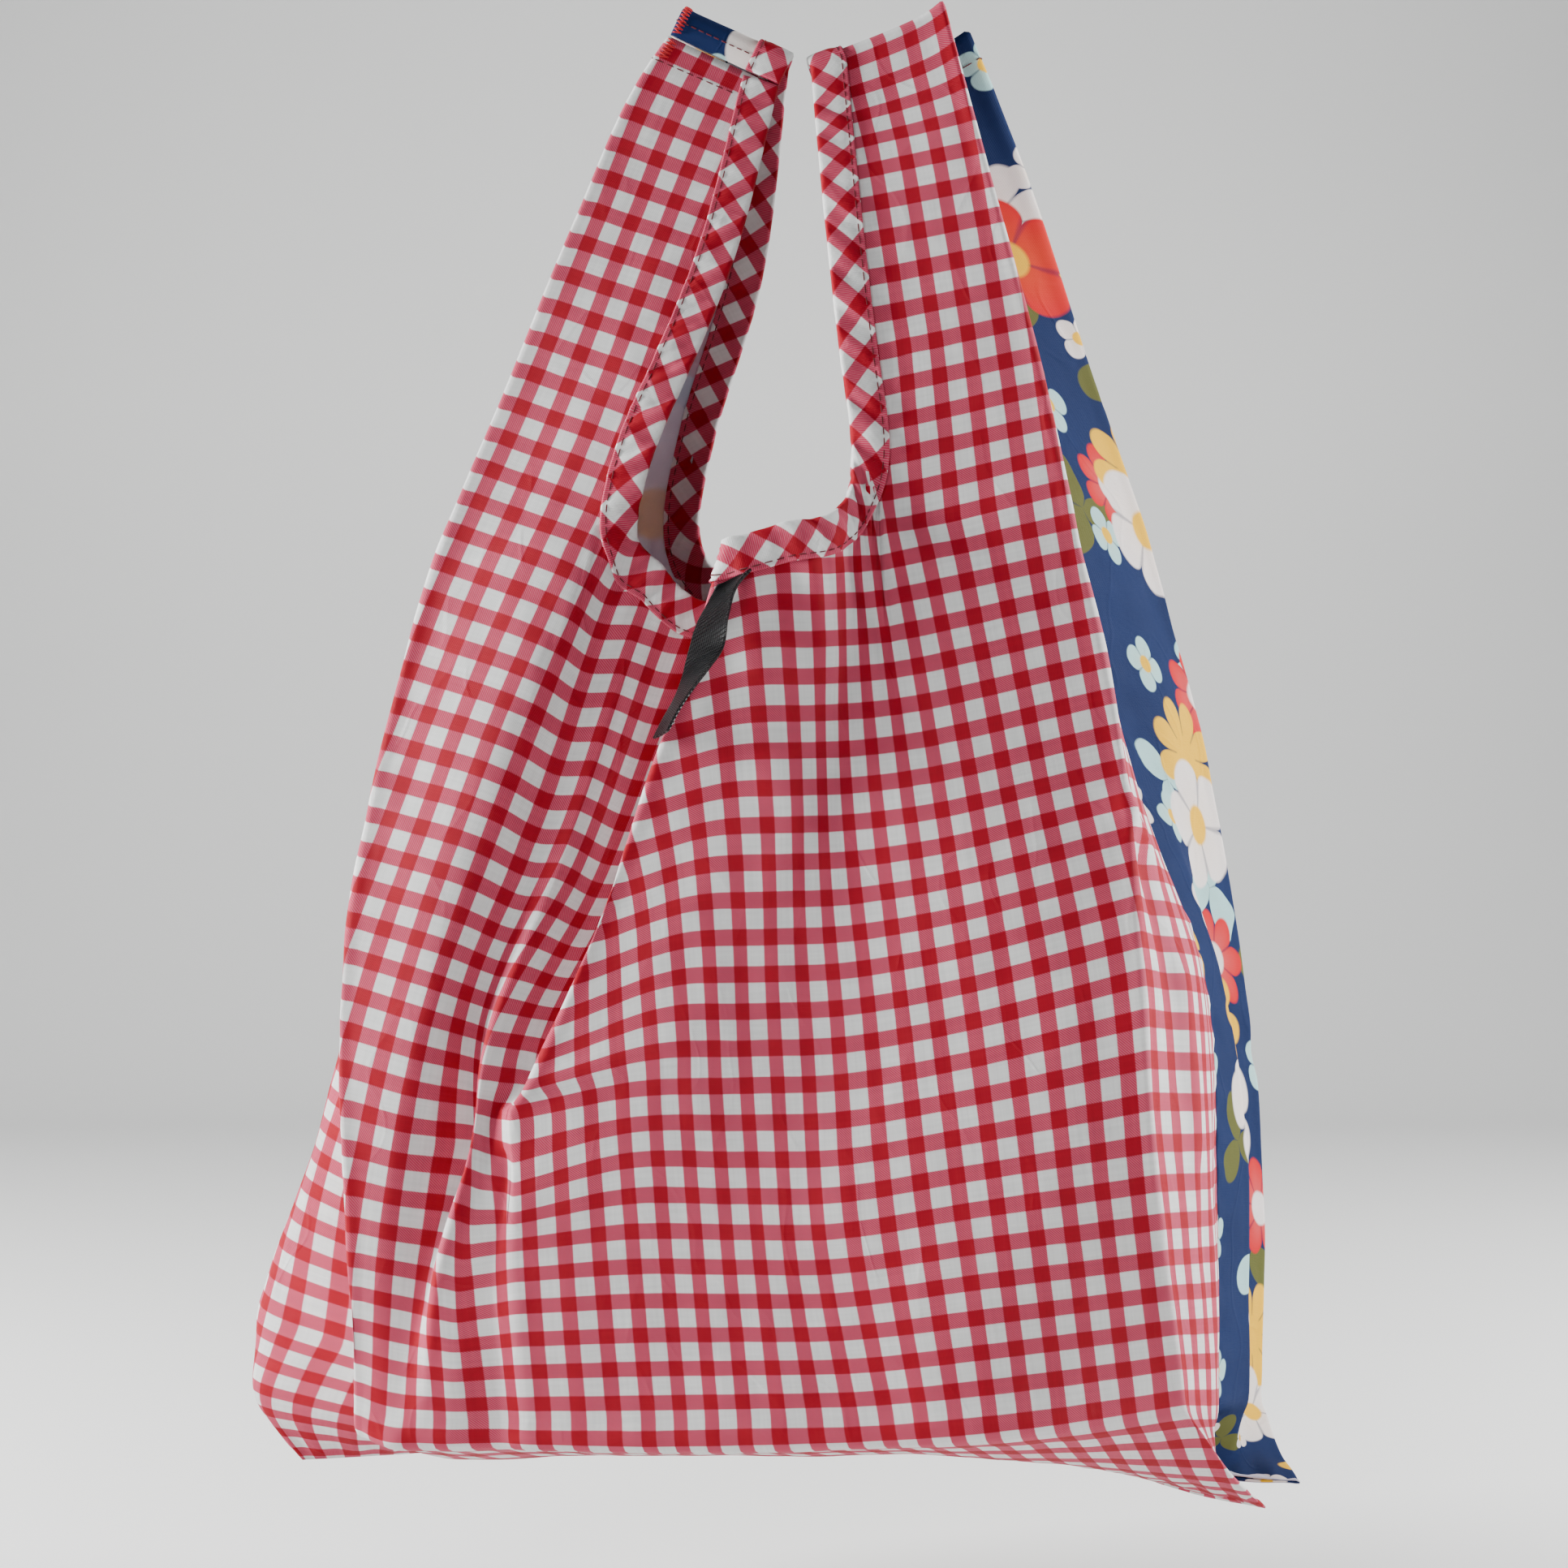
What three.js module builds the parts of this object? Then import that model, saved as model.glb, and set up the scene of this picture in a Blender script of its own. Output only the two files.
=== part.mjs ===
// Vest-shaped cloth lunch bag, empty, hanging from its two handles.
//
// Two cloth panels of one cut make the bag: checked cloth in front, flowered cloth
// behind. They are sewn together along the middle of each side fold and along the
// bottom. Bias-cut tapes bind the two U-shaped mouth edges, and a short black woven
// tape hangs from the front binding. Everything is given in the shape in which the
// bag hangs.
//
// Millimetres, +Z up. The bag's front faces -Y. The origin lies midway between the
// two points by which the handles hang.
//
// Cloth coordinates: u runs across a panel from its middle line, v runs up it from
// the fold at the bag's bottom edge. One check of the cloth repeats every 10 mm.

import * as THREE from 'three';

// Cut of the panels
const CLOTH = 1.2;              // sheet thickness
const SEAM_V = -60;             // bottom seam, measured down from the bottom fold
const MOUTH_HALF = 91;          // half width of the mouth cut
const MOUTH_V = 253;            // lowest line of the mouth cut
const MOUTH_TOP_V = 304;        // where the mouth's round corners end
// Squareness of those corners, left and right: the front's left one is drawn round
const MOUTH_POWER = { front: [2.8, 3.8], back: [5, 3.8] };
const EAR_U = 159;              // pressed side crease, caught in the bottom seam

// Handles. Each hangs over a small round at its top: one panel goes over it and ends in
// a seam on the other side, the other panel ends there. "lean" is the way up, in x and z.
// "peak" is how far a handle's outer corner is pulled up above the rest of its top.
const TURN_RADIUS = 3;          // of the outer layer
const TURN_LENGTH = Math.PI * TURN_RADIUS;
const SEAM_GAP = 0.6;           // between the two panels, which are sewn edge to edge
const HANDLES = {
  left: { over: 'back', turnV: 409.5, lean: [0.425, 0.906], drop: 7.2, endV: 408.5, peak: 0 },
  right: { over: 'front', turnV: 397, lean: [-0.367, 0.93], drop: 6, endV: 391, peak: 3 },
};

const PEAK_U = 142;             // the corner, as u
const PEAK_REACH = 6;           // how fast the top falls away beside it
const PEAK_FLAT = 12;           // below a handle's top the pull is full for this far
const PEAK_FADE = 25;           // and then fades out

// Binding: a tape folded over the cut edge
const BINDING_WIDTH = 10;
const BINDING_WALL = 0.8;
const BINDING_GAP = 0.5;        // to the cloth's faces
const BINDING_EDGE_GAP = 0.9;   // to its cut edge

// Black woven tape: it hangs from the front binding's lower edge over the big fold, and
// twists. Columns: [x, y, z] of its middle, and [wx, wy, wz], the way across it.
const TAPE_WIDTH = 10;
const TAPE_THICKNESS = 1;
const TAPE = [
  [-22.3, -46.9, -166.4, 0.9, -0.04, 0.4],
  [-25.2, -48.4, -171, 0.78, -0.45, 0.43],
  [-28.3, -50, -178.5, 0.86, -0.48, 0.2],
  [-30, -50.6, -185.8, 0.95, -0.25, 0.15],
  [-32.6, -51.4, -191.4, 0.78, -0.55, 0.3],
  [-35.9, -52.3, -197.3, 0.55, -0.78, 0.3],
  [-39.3, -52.3, -203.4, 0.45, -0.85, 0.25],
  [-41.8, -51.4, -208.8, 0.42, -0.88, 0.2],
];

// Net of the modelled cloth
const COLUMN_STEP = 14;
const CREASE_CUTS = 2;
const LOW_ROWS = [-60, -42, -26, -14, -5, 4, 14, 28];
const BODY_ROWS = 17;
const HANDLE_ROWS = 6;
const TURN_STEPS = 5;
const EDGE_STRIP = 0.25;        // strip along the mouth, as a part of the way to the side fold
const EDGE_STRIP_LOW = 12;      // its width at the lowest part of the mouth
const CORNER_COLUMNS = [0.08, 0.32, 0.66];
const CORNER_FROM = 0.5;         // where the strip starts to fan out to the handles
const CORNER_TO = 0.85;
const STRIP_PASSES = 30;        // rounds in which a column's top settles on the mouth's line
const STRIP_PULL = 0.6;         // part of the way that it goes in each round
const CUTS_APART = 0.1;         // least distance between columns beside the strip

// Guide lines. Each one follows a fold, an edge or a soft wave up the bag. Its table
// has a row for each course, with the columns [v, u, x, y, z]: where that course of
// the cloth (v, u) hangs (x, y, z). "crease" is how tight the cloth turns there.
// "bulge" moves it along x between the bottom fold and the bottom seam.
// Side seams, shared by both panels: [v, u, x, y, z, gap], with half the gap between the
// panels' middles. It is small where they meet edge to edge, more where they lie together.
const SIDE_SEAMS = {
  left: [
    [0, -212, -131, 11, -361, 0.7], [60, -212, -112, 13, -313, 0.7], [120, -212, -103.5, 9, -264, 0.7],
    [180, -207, -91.5, 5, -215, 0.7], [240, -196, -74, 2, -161, 0.8],
    [300, -183, -59, 0.5, -107, 0.8], [350, -171, -42, 0, -61, 0.9]],
  right: [
    [0, 212, 114.3, -4, -400, 0.4], [60, 212, 114.7, -1, -338, 0.4], [120, 212, 110.3, -2, -274, 0.4],
    [180, 207, 86.5, 2, -216, 0.4], [240, 196, 73, 0, -156, 0.4],
    [300, 183, 54, 0, -98, 0.45], [350, 171, 33, 0, -52, 0.75]],
};
const SEAM_TOPS = {
  front: { left: [408.5, -160, -26, 0, -15.9, 1.2], right: [397, 160, 22, 0, -6.2, 1.2] },
  back: { left: [409.5, -160, -23, 0, -9.3, 1.2], right: [391, 160, 24.2, 0, -12, 1.2] },
};

const FRONT_GUIDES = [
  { name: 'leftSeam', crease: 0, seam: 'left' },
  { name: 'leftBulge', crease: 0, bulge: -8, rows: [
    [0, -177, -158, -6, -370], [60, -170, -141, -9, -320], [120, -177, -127, -10, -269],
    [180, -178, -112, -11, -217], [240, -173, -90, -9, -162], [300, -167, -69, -7, -107],
    [350, -159, -51, -5, -60], [408.5, -150, -29, -1.2, -14.5]] },
  { name: 'leftDip', crease: 0, rows: [
    [0, -118, -108, -36, -388], [60, -122, -110, -34, -338], [120, -144, -104, -30, -278],
    [180, -155, -96, -26, -222], [240, -158, -85, -20, -164], [300, -157, -66, -14, -107],
    [350, -154, -53, -8, -60], [408.5, -144, -34, -1.2, -12.2]] },
  { name: 'leftFold', crease: 4, rows: [
    [0, -96, -124, -50, -396], [60, -101, -127, -48, -344], [120, -116, -130, -40, -282],
    [180, -128, -122, -34, -224], [240, -135, -107, -28, -164], [300, -136.5, -86, -18, -109],
    [350, -136.5, -68, -10, -62], [398, -134.5, -48, -4, -17.5],
    [408.5, -134, -42, -2.4, -8.4]] },
  { name: 'leftEdge', crease: 0, rows: [
    [0, -91, -119, -52, -398], [60, -91, -117, -49, -346], [120, -91, -107.5, -45, -288.5],
    [180, -91, -89, -41, -233.5], [240, -91, -68, -35, -179], [300, -91, -44, -25, -125],
    [350, -88, -25, -13, -77], [408.5, -96, -11.3, -3, -22.9]] },
  { name: 'smallFold', crease: 3, follows: 'leftEdge', rows: [
    [0, -77, -106, -54, -399], [60, -67, -101, -54, -349], [90, -59, -93.5, -52, -321],
    [120, -58, -89.5, -48, -294], [180, -68, -69, -39, -240], [240, -71, -52, -33, -184]] },
  { name: 'underLap', crease: 0, follows: 'leftEdge', rows: [
    [0, -66, -97, -55, -399], [60, -60, -95, -54, -350.5], [90, -53, -88.5, -51, -323],
    [120, -43, -78, -45, -296], [180, -45, -55, -36, -246], [240, -52, -39, -31, -188]] },
  { name: 'bigFold', crease: 7, follows: 'rightEdge', rows: [
    [0, -45, -77, -57, -399], [60, -45, -81, -56, -348], [90, -44, -81, -54, -325],
    [120, -33, -73, -51, -298.5], [180, 2, -48.2, -48, -234], [240, 30, -28, -45, -171]] },
  { name: 'belly', crease: 0, follows: 'rightEdge', rows: [
    [0, -12, -46, -59, -399], [60, -12, -51, -57, -345], [90, -10, -51.5, -55, -317],
    [120, 2, -43, -52, -288], [180, 26, -27, -48, -228], [240, 47, -12, -45, -167]] },
  { name: 'centre', crease: 0, follows: 'rightEdge', rows: [
    [0, 23, -16, -60, -398], [60, 23, -21.5, -57, -345], [120, 33, -17.5, -51, -287],
    [180, 48, -7, -48, -227], [240, 62, 1, -44, -167]] },
  { name: 'trough', crease: 0, follows: 'rightEdge', rows: [
    [0, 52, 12, -62, -397], [60, 55, 5, -59, -344.5], [120, 62, 7, -51, -286],
    [180, 70, 8, -46, -226.5], [240, 76, 9.5, -40, -166]] },
  { name: 'rightEdge', crease: 0, rows: [
    [0, 91, 47, -64, -394], [60, 91, 39.5, -61, -339], [120, 91, 32.5, -53, -281.5],
    [180, 91, 25, -48, -224.5], [240, 91, 17, -39, -165.5], [300, 91, 8, -26, -108.5],
    [350, 93, 2.5, -12, -55], [397, 98, -0.5, -3, -14.8]] },
  { name: 'rightFold', crease: 4, rows: [
    [0, 147, 99, -52, -390], [60, 146, 90.5, -60, -332], [120, 147, 86.5, -54, -267.5],
    [180, 155, 82, -48, -211.5], [240, 154, 71, -38, -154], [300, 149.5, 60, -25, -97],
    [350, 144.5, 48, -13, -46], [397, 142, 37, -2.4, 0]] },
  { name: 'rightPuff', crease: 0, rows: [
    [0, 176, 109, -34, -394], [60, 178, 107, -34, -335], [120, 177, 103, -30, -271],
    [180, 182, 87, -22, -214], [240, 174, 71, -20, -155], [300, 165, 58, -12, -97],
    [350, 157, 41, -6, -48], [397, 150, 29, -1.2, -3.1]] },
  { name: 'rightSeam', crease: 0, seam: 'right' },
];

const BACK_GUIDES = [
  { name: 'leftSeam', crease: 0, seam: 'left' },
  { name: 'leftTuck', crease: 0, rows: [
    [0, -185, -137, 32, -373], [60, -184, -127, 33, -324], [120, -184, -120, 30, -272],
    [180, -181, -108, 26, -219], [240, -174, -91, 20, -163], [300, -167, -73, 13, -107],
    [352, -158, -55, 6, -60], [409.5, -151, -31, 1.2, -5.6]] },
  { name: 'leftFold', crease: 5, rows: [
    [0, -157, -138, 52, -391], [60, -156, -139, 52, -336], [120, -155, -133, 50, -280],
    [180, -154, -121, 46, -221], [240, -150, -103, 38, -162], [300, -150, -86, 26, -104],
    [352, -146, -66, 13, -55], [409.5, -142, -38.5, 2.4, -2.1]] },
  { name: 'leftEdge', crease: 0, rows: [
    [0, -91, -84, 57, -403], [60, -91, -83, 55, -349], [120, -91, -74, 51, -294],
    [180, -91, -60, 46, -237], [240, -91, -45, 38, -178], [300, -91, -30, 27, -118],
    [352, -88, -16, 13, -74], [409.5, -96, -8.3, 3, -16.3]] },
  { name: 'backFold', crease: 8, follows: 'leftEdge', rows: [
    [0, 20, 16, 53, -406], [60, 15, 17, 54, -353], [120, 0, 16, 53, -297],
    [180, -14, 14, 48, -240], [240, -28, 14, 41, -181]] },
  { name: 'underLap', crease: 0, follows: 'rightEdge', rows: [
    [0, 44, 34, 52, -407], [60, 43, 32, 50, -354], [120, 44, 27, 44, -297],
    [180, 48, 17, 33, -239], [240, 60, 15, 24, -180]] },
  { name: 'rightEdge', crease: 0, rows: [
    [0, 91, 80, 58, -407], [60, 91, 78, 56, -353], [120, 91, 72.5, 51, -292],
    [180, 91, 58, 46, -230], [240, 91, 43, 38, -169], [300, 91, 22, 26, -112],
    [350, 93, 9, 13, -61], [391, 98, 2.2, 3, -20.2]] },
  { name: 'rightFold', crease: 5, rows: [
    [0, 154, 136, 52, -410], [60, 154, 137, 51, -350], [120, 153, 131.5, 50, -284],
    [180, 155, 119.5, 46, -217], [240, 150, 102.5, 38, -155.5], [300, 150.5, 80.5, 26, -96],
    [350, 146, 62, 13, -46], [391, 139.5, 44.5, 2.4, -5.2]] },
  { name: 'rightDip', crease: 0, rows: [
    [0, 174, 125, 32, -405], [60, 176, 126, 32, -344], [120, 180, 116, 28, -279],
    [180, 180, 106, 26, -217], [240, 173, 89, 20, -156], [300, 167, 66, 13, -97],
    [350, 158, 48, 7, -50], [391, 151, 33.1, 1.2, -9.4]] },
  { name: 'rightRidge', crease: 4, rows: [
    [0, 188, 127, 19, -402], [60, 188, 127.5, 21, -341], [120, 194, 118, 14, -277],
    [180, 194, 97, 15, -216], [240, 185, 82, 11, -156], [300, 175, 60, 7, -97],
    [350, 164, 40, 4, -51], [391, 155, 29.2, 1.2, -10.5]] },
  { name: 'rightSeam', crease: 0, seam: 'right' },
];

// Hollow beside the small fold: [v, shift in x, shift in y] from the fold's ridge
const SMALL_HOLLOW = [[0, -7.5, 0], [60, -1, 6], [90, 2, 9], [120, -1, 7], [180, -7, 1], [240, -8, 0]];
const SMALL_HOLLOW_REACH = 8;
const CREASE_SHARE = 0.45;             // most of the way to its neighbour that a crease takes
const CREASE_STRETCH = 0.9;            // speed of the cloth over a crease's top
const HOLLOW_CREASE = { front: 14, back: 17 };
const HOLLOW_LEAN = [0.86, 0.5];       // way a big fold's hollow runs, along x and y

// Bottom seam, from one side crease to the other: [u, x, y, z] of the middle between the
// layers. Past a crease the cloth is folded in and comes back along the same seam.
const BOTTOM_SEAMS = {
  front: [[-159, -146, -0.5, -415], [-110, -106, -1, -412.5], [-40, -45, -2, -409],
    [60, 42, -5, -409.5], [110, 86, -7, -417], [140, 111, -8.5, -424], [159, 127, -9.5, -426.4]],
  back: [[-159, -144, -0.5, -415], [-110, -106, -1, -412.5], [-40, -45, -2, -409],
    [60, 42, -5, -409.5], [110, 88, -6, -416], [140, 119, -6, -420.5], [159, 138, -6, -421]],
};
const FOLDED_BACK = 0.87;       // length of seam that a length of folded-in cloth takes
const OUTER_LAYER = 2.6;        // middle of the outer layer to the seam's middle
const INNER_LAYER = 0.9;        // the same for the folded-in cloth, and where there is none
const FOLDED_IN_TO = 113;       // where the folded-in cloth ends, as u of the outer layer
const BOTTOM_SAG = 3;
const BOTTOM_CREASE = 10;       // how tight the cloth turns under
const GUIDES_AT_SEAM = {
  front: { leftSeam: -212, leftBulge: -159, leftDip: -128, leftFold: -100, rightFold: 159,
    rightPuff: 180, rightSeam: 212 },
  back: { leftSeam: -212, leftTuck: -185, leftFold: -159, rightFold: 159, rightDip: 172,
    rightRidge: 186, rightSeam: 212 },
};

const clamp = (value, low, high) => Math.min(Math.max(value, low), high);
const mix = (a, b, f) => a + (b - a) * f;
const mixPoints = (p, q, f) => p.map((value, k) => mix(value, q[k], f));

// Row of a table at a value of its first column, straight between its rows
function rowAt(table, at) {
  const last = table.length - 1;
  if (at <= table[0][0]) return table[0];
  if (at >= table[last][0]) return table[last];
  const k = table.findIndex((row) => row[0] > at) - 1;
  return mixPoints(table[k], table[k + 1], (at - table[k][0]) / (table[k + 1][0] - table[k][0]));
}

// A smooth curve through points at uneven steps: each point's slope is that of the
// parabola through it and its two neighbours.
function slopes(knots, points) {
  const step = (k) => Math.max(knots[k + 1] - knots[k], 1e-6);
  const rise = (k) => points[k].map((value, c) => (points[k + 1][c] - value) / step(k));
  return points.map((_, k) => {
    if (k === 0) return rise(0);
    if (k === points.length - 1) return rise(k - 1);
    const before = rise(k - 1);
    const after = rise(k);
    const total = step(k - 1) + step(k);
    return before.map((value, c) => (value * step(k) + after[c] * step(k - 1)) / total);
  });
}

function curveAt(knots, points, tangents, at) {
  const last = knots.length - 1;
  let k = 0;
  while (k < last - 1 && knots[k + 1] <= at) k += 1;
  const step = Math.max(knots[k + 1] - knots[k], 1e-6);
  const f = (at - knots[k]) / step;
  if (f < 0) return points[k].map((value, c) => value + f * step * tangents[k][c]);
  if (f > 1) return points[k + 1].map((value, c) => value + (f - 1) * step * tangents[k + 1][c]);
  const f2 = f * f;
  const f3 = f2 * f;
  return points[k].map((value, c) => (2 * f3 - 3 * f2 + 1) * value
    + (f3 - 2 * f2 + f) * step * tangents[k][c]
    + (3 * f2 - 2 * f3) * points[k + 1][c]
    + (f3 - f2) * step * tangents[k + 1][c]);
}

// Rows of a guide down to the bottom seam, with a tight turn at the bottom fold
function withUnderside(panel, guide, rows) {
  const front = panel === 'front' ? -1 : 1;
  const u = GUIDES_AT_SEAM[panel][guide.name] ?? rows[0][1];
  const foldedIn = Math.max(Math.abs(u) - EAR_U, 0);
  const along = Math.sign(u) * (Math.min(Math.abs(u), EAR_U) - FOLDED_BACK * foldedIn);
  const [, x, y, z] = rowAt(BOTTOM_SEAMS[panel], along);
  const layer = foldedIn > 0 || Math.abs(u) < FOLDED_IN_TO ? INNER_LAYER : OUTER_LAYER;
  const seam = [SEAM_V, u, x, y + front * layer, z];
  const half = mixPoints(seam, rows[0], 0.5);
  half[2] += guide.bulge ?? 0;
  half[4] -= BOTTOM_SAG;
  const under = mixPoints(rows[0], half, BOTTOM_CREASE / (rows[0][0] - half[0]));
  const above = mixPoints(rows[0], rows[1], BOTTOM_CREASE / (rows[1][0] - rows[0][0]));
  return [seam, half, under, rows[0], above, ...rows.slice(1)];
}

function rowsOf(panel, guide) {
  if (!guide.seam) return guide.rows;
  const front = panel === 'front' ? -1 : 1;
  return [...SIDE_SEAMS[guide.seam], SEAM_TOPS[panel][guide.seam]]
    .map(([v, u, x, y, z, gap]) => [v, u, x, y + front * gap, z]);
}

function prepare(panel, guides) {
  return guides.map((guide) => {
    const rows = withUnderside(panel, guide, rowsOf(panel, guide));
    const knots = rows.map((row) => row[0]);
    const points = rows.map((row) => row.slice(1));
    return { ...guide, knots, points, tangents: slopes(knots, points) };
  });
}

function guideAt(guides, guide, v) {
  if (!guide.follows || v <= MOUTH_V) return curveAt(guide.knots, guide.points, guide.tangents, v);
  const edge = guides.find((other) => other.name === guide.follows);
  const high = guideAt(guides, edge, v);
  const low = guideAt(guides, edge, MOUTH_V);
  const own = curveAt(guide.knots, guide.points, guide.tangents, MOUTH_V);
  return own.map((value, c) => (c === 0 ? value : value + high[c] - low[c]));
}

// The cloth between a fold's ridge and the layer under it turns back in a hollow
// whose depth follows from the cloth that is left over. It fades out under the bag.
function hollowOf(lap, ridge, inward, side, v) {
  const cloth = Math.abs(ridge[0] - lap[0]) / 2;
  const apart = Math.hypot(ridge[1] - lap[1], ridge[2] - lap[2], ridge[3] - lap[3]) / 2;
  const depth = Math.sqrt(Math.max(cloth * cloth - apart * apart, 0))
    * clamp(1 - v / SEAM_V, 0, 1);
  const middle = mixPoints(lap, ridge, 0.5);
  middle[1] += side * HOLLOW_LEAN[0] * depth;
  middle[2] += inward * HOLLOW_LEAN[1] * depth;
  return middle;
}

// One course across a panel: its knots u, with the points where they hang. A crease
// gets a knot close on each side, so that the cloth turns tightly there.
function courseAt(panel, v) {
  const line = [];
  for (const guide of panel.guides) {
    const at = guideAt(panel.guides, guide, v);
    if (guide.name === 'smallFold') {
      const behind = [...at];
      const [, shiftX, shiftY] = rowAt(SMALL_HOLLOW, v);
      behind[0] -= SMALL_HOLLOW_REACH;
      behind[1] += shiftX;
      behind[2] += shiftY;
      line.push({ name: 'smallHollow', crease: 0, at: behind });
    }
    const before = line[line.length - 1];
    if (guide.name === 'bigFold') {
      const hollow = hollowOf(before.at, at, 1, 1, v);
      line.push({ name: 'hollow', crease: HOLLOW_CREASE.front, at: hollow });
    }
    if (panel.name === 'back' && guide.name === 'underLap') {
      const hollow = hollowOf(at, before.at, -1, -1, v);
      line.push({ name: 'hollow', crease: HOLLOW_CREASE.back, at: hollow });
    }
    line.push({ name: guide.name, crease: guide.crease, at });
  }
  const knots = [];
  const points = [];
  const names = [];
  const creases = [];
  line.forEach(({ name, crease, at }, k) => {
    if (crease && k > 0 && k < line.length - 1) {
      const before = line[k - 1].at;
      const after = line[k + 1].at;
      const left = Math.min(crease, CREASE_SHARE * (at[0] - before[0]));
      const right = Math.min(crease, CREASE_SHARE * (after[0] - at[0]));
      const p = mixPoints(at, before, left / (at[0] - before[0]));
      const q = mixPoints(at, after, right / (after[0] - at[0]));
      creases.push(knots.length + 1);
      knots.push(p[0], at[0], q[0]);
      points.push(p.slice(1), at.slice(1), q.slice(1));
      names.push(`${name}Before`, name, `${name}After`);
    } else {
      knots.push(at[0]);
      points.push(at.slice(1));
      names.push(name);
    }
  });
  const tangents = slopes(knots, points);
  // Over a crease the cloth runs at its full length, square to the fold
  for (const k of creases) {
    const across = points[k + 1].map((value, c) => value - points[k - 1][c]);
    const length = Math.hypot(...across);
    tangents[k] = across.map((value) => (CREASE_STRETCH * value) / Math.max(length, 1));
  }
  // Beside the mouth a handle's cloth takes no notice of the other side
  const alone = clamp((v - MOUTH_V) / (MOUTH_TOP_V - MOUTH_V), 0, 1);
  const edges = [[names.indexOf('leftEdge'), -1], [names.indexOf('rightEdge'), 1]];
  for (const [k, side] of edges) {
    const step = knots[k + side] - knots[k];
    const own = points[k + side].map((value, c) => (value - points[k][c]) / step);
    tangents[k] = mixPoints(tangents[k], own, alone);
  }
  return { knots, points, names, tangents };
}

// Where the point (u, v) of a panel hangs. Near a handle's top the cloth falls away from
// the corner by which it hangs. Past the turn it runs over the round and down behind.
function hang(panel, course, u, v) {
  const handle = u < 0 ? HANDLES.left : HANDLES.right;
  const line = course(Math.min(v, handle.turnV));
  const p = curveAt(line.knots, line.points, line.tangents, u);
  const pull = handle.peak * clamp((v - handle.turnV + PEAK_FLAT) / PEAK_FADE + 1, 0, 1);
  p[2] -= pull * (1 - Math.exp(-Math.abs(Math.abs(u) - PEAK_U) / PEAK_REACH));
  if (v <= handle.turnV) return p;
  const angle = Math.min((v - handle.turnV) / TURN_RADIUS, Math.PI);
  const up = Math.abs(p[1]) * Math.sin(angle) - Math.max(v - handle.turnV - TURN_LENGTH, 0);
  return [p[0] + up * handle.lean[0], p[1] * Math.cos(angle), p[2] + up * handle.lean[1]];
}

// Courses of a handle above the mouth's round corners
function handleRows(panelName, handle) {
  const end = handle.over === panelName ? handle.turnV : handle.endV;
  const rows = [];
  for (let n = 1; n <= HANDLE_ROWS; n += 1) rows.push(mix(MOUTH_TOP_V, end, n / HANDLE_ROWS));
  if (handle.over !== panelName) return rows;
  for (let n = 1; n <= TURN_STEPS; n += 1) rows.push(end + (TURN_LENGTH * n) / TURN_STEPS);
  rows.push(end + TURN_LENGTH + handle.drop - SEAM_GAP);
  return rows;
}

// The mouth's cut, or a line that far outside it: v at a given u
function curveLine(name, u, half, outside) {
  const power = MOUTH_POWER[name][u < 0 ? 0 : 1];
  const across = Math.min(Math.abs(u) / half, 1) ** power;
  return MOUTH_TOP_V - (MOUTH_TOP_V - MOUTH_V + outside) * (1 - across) ** (1 / power);
}

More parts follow.
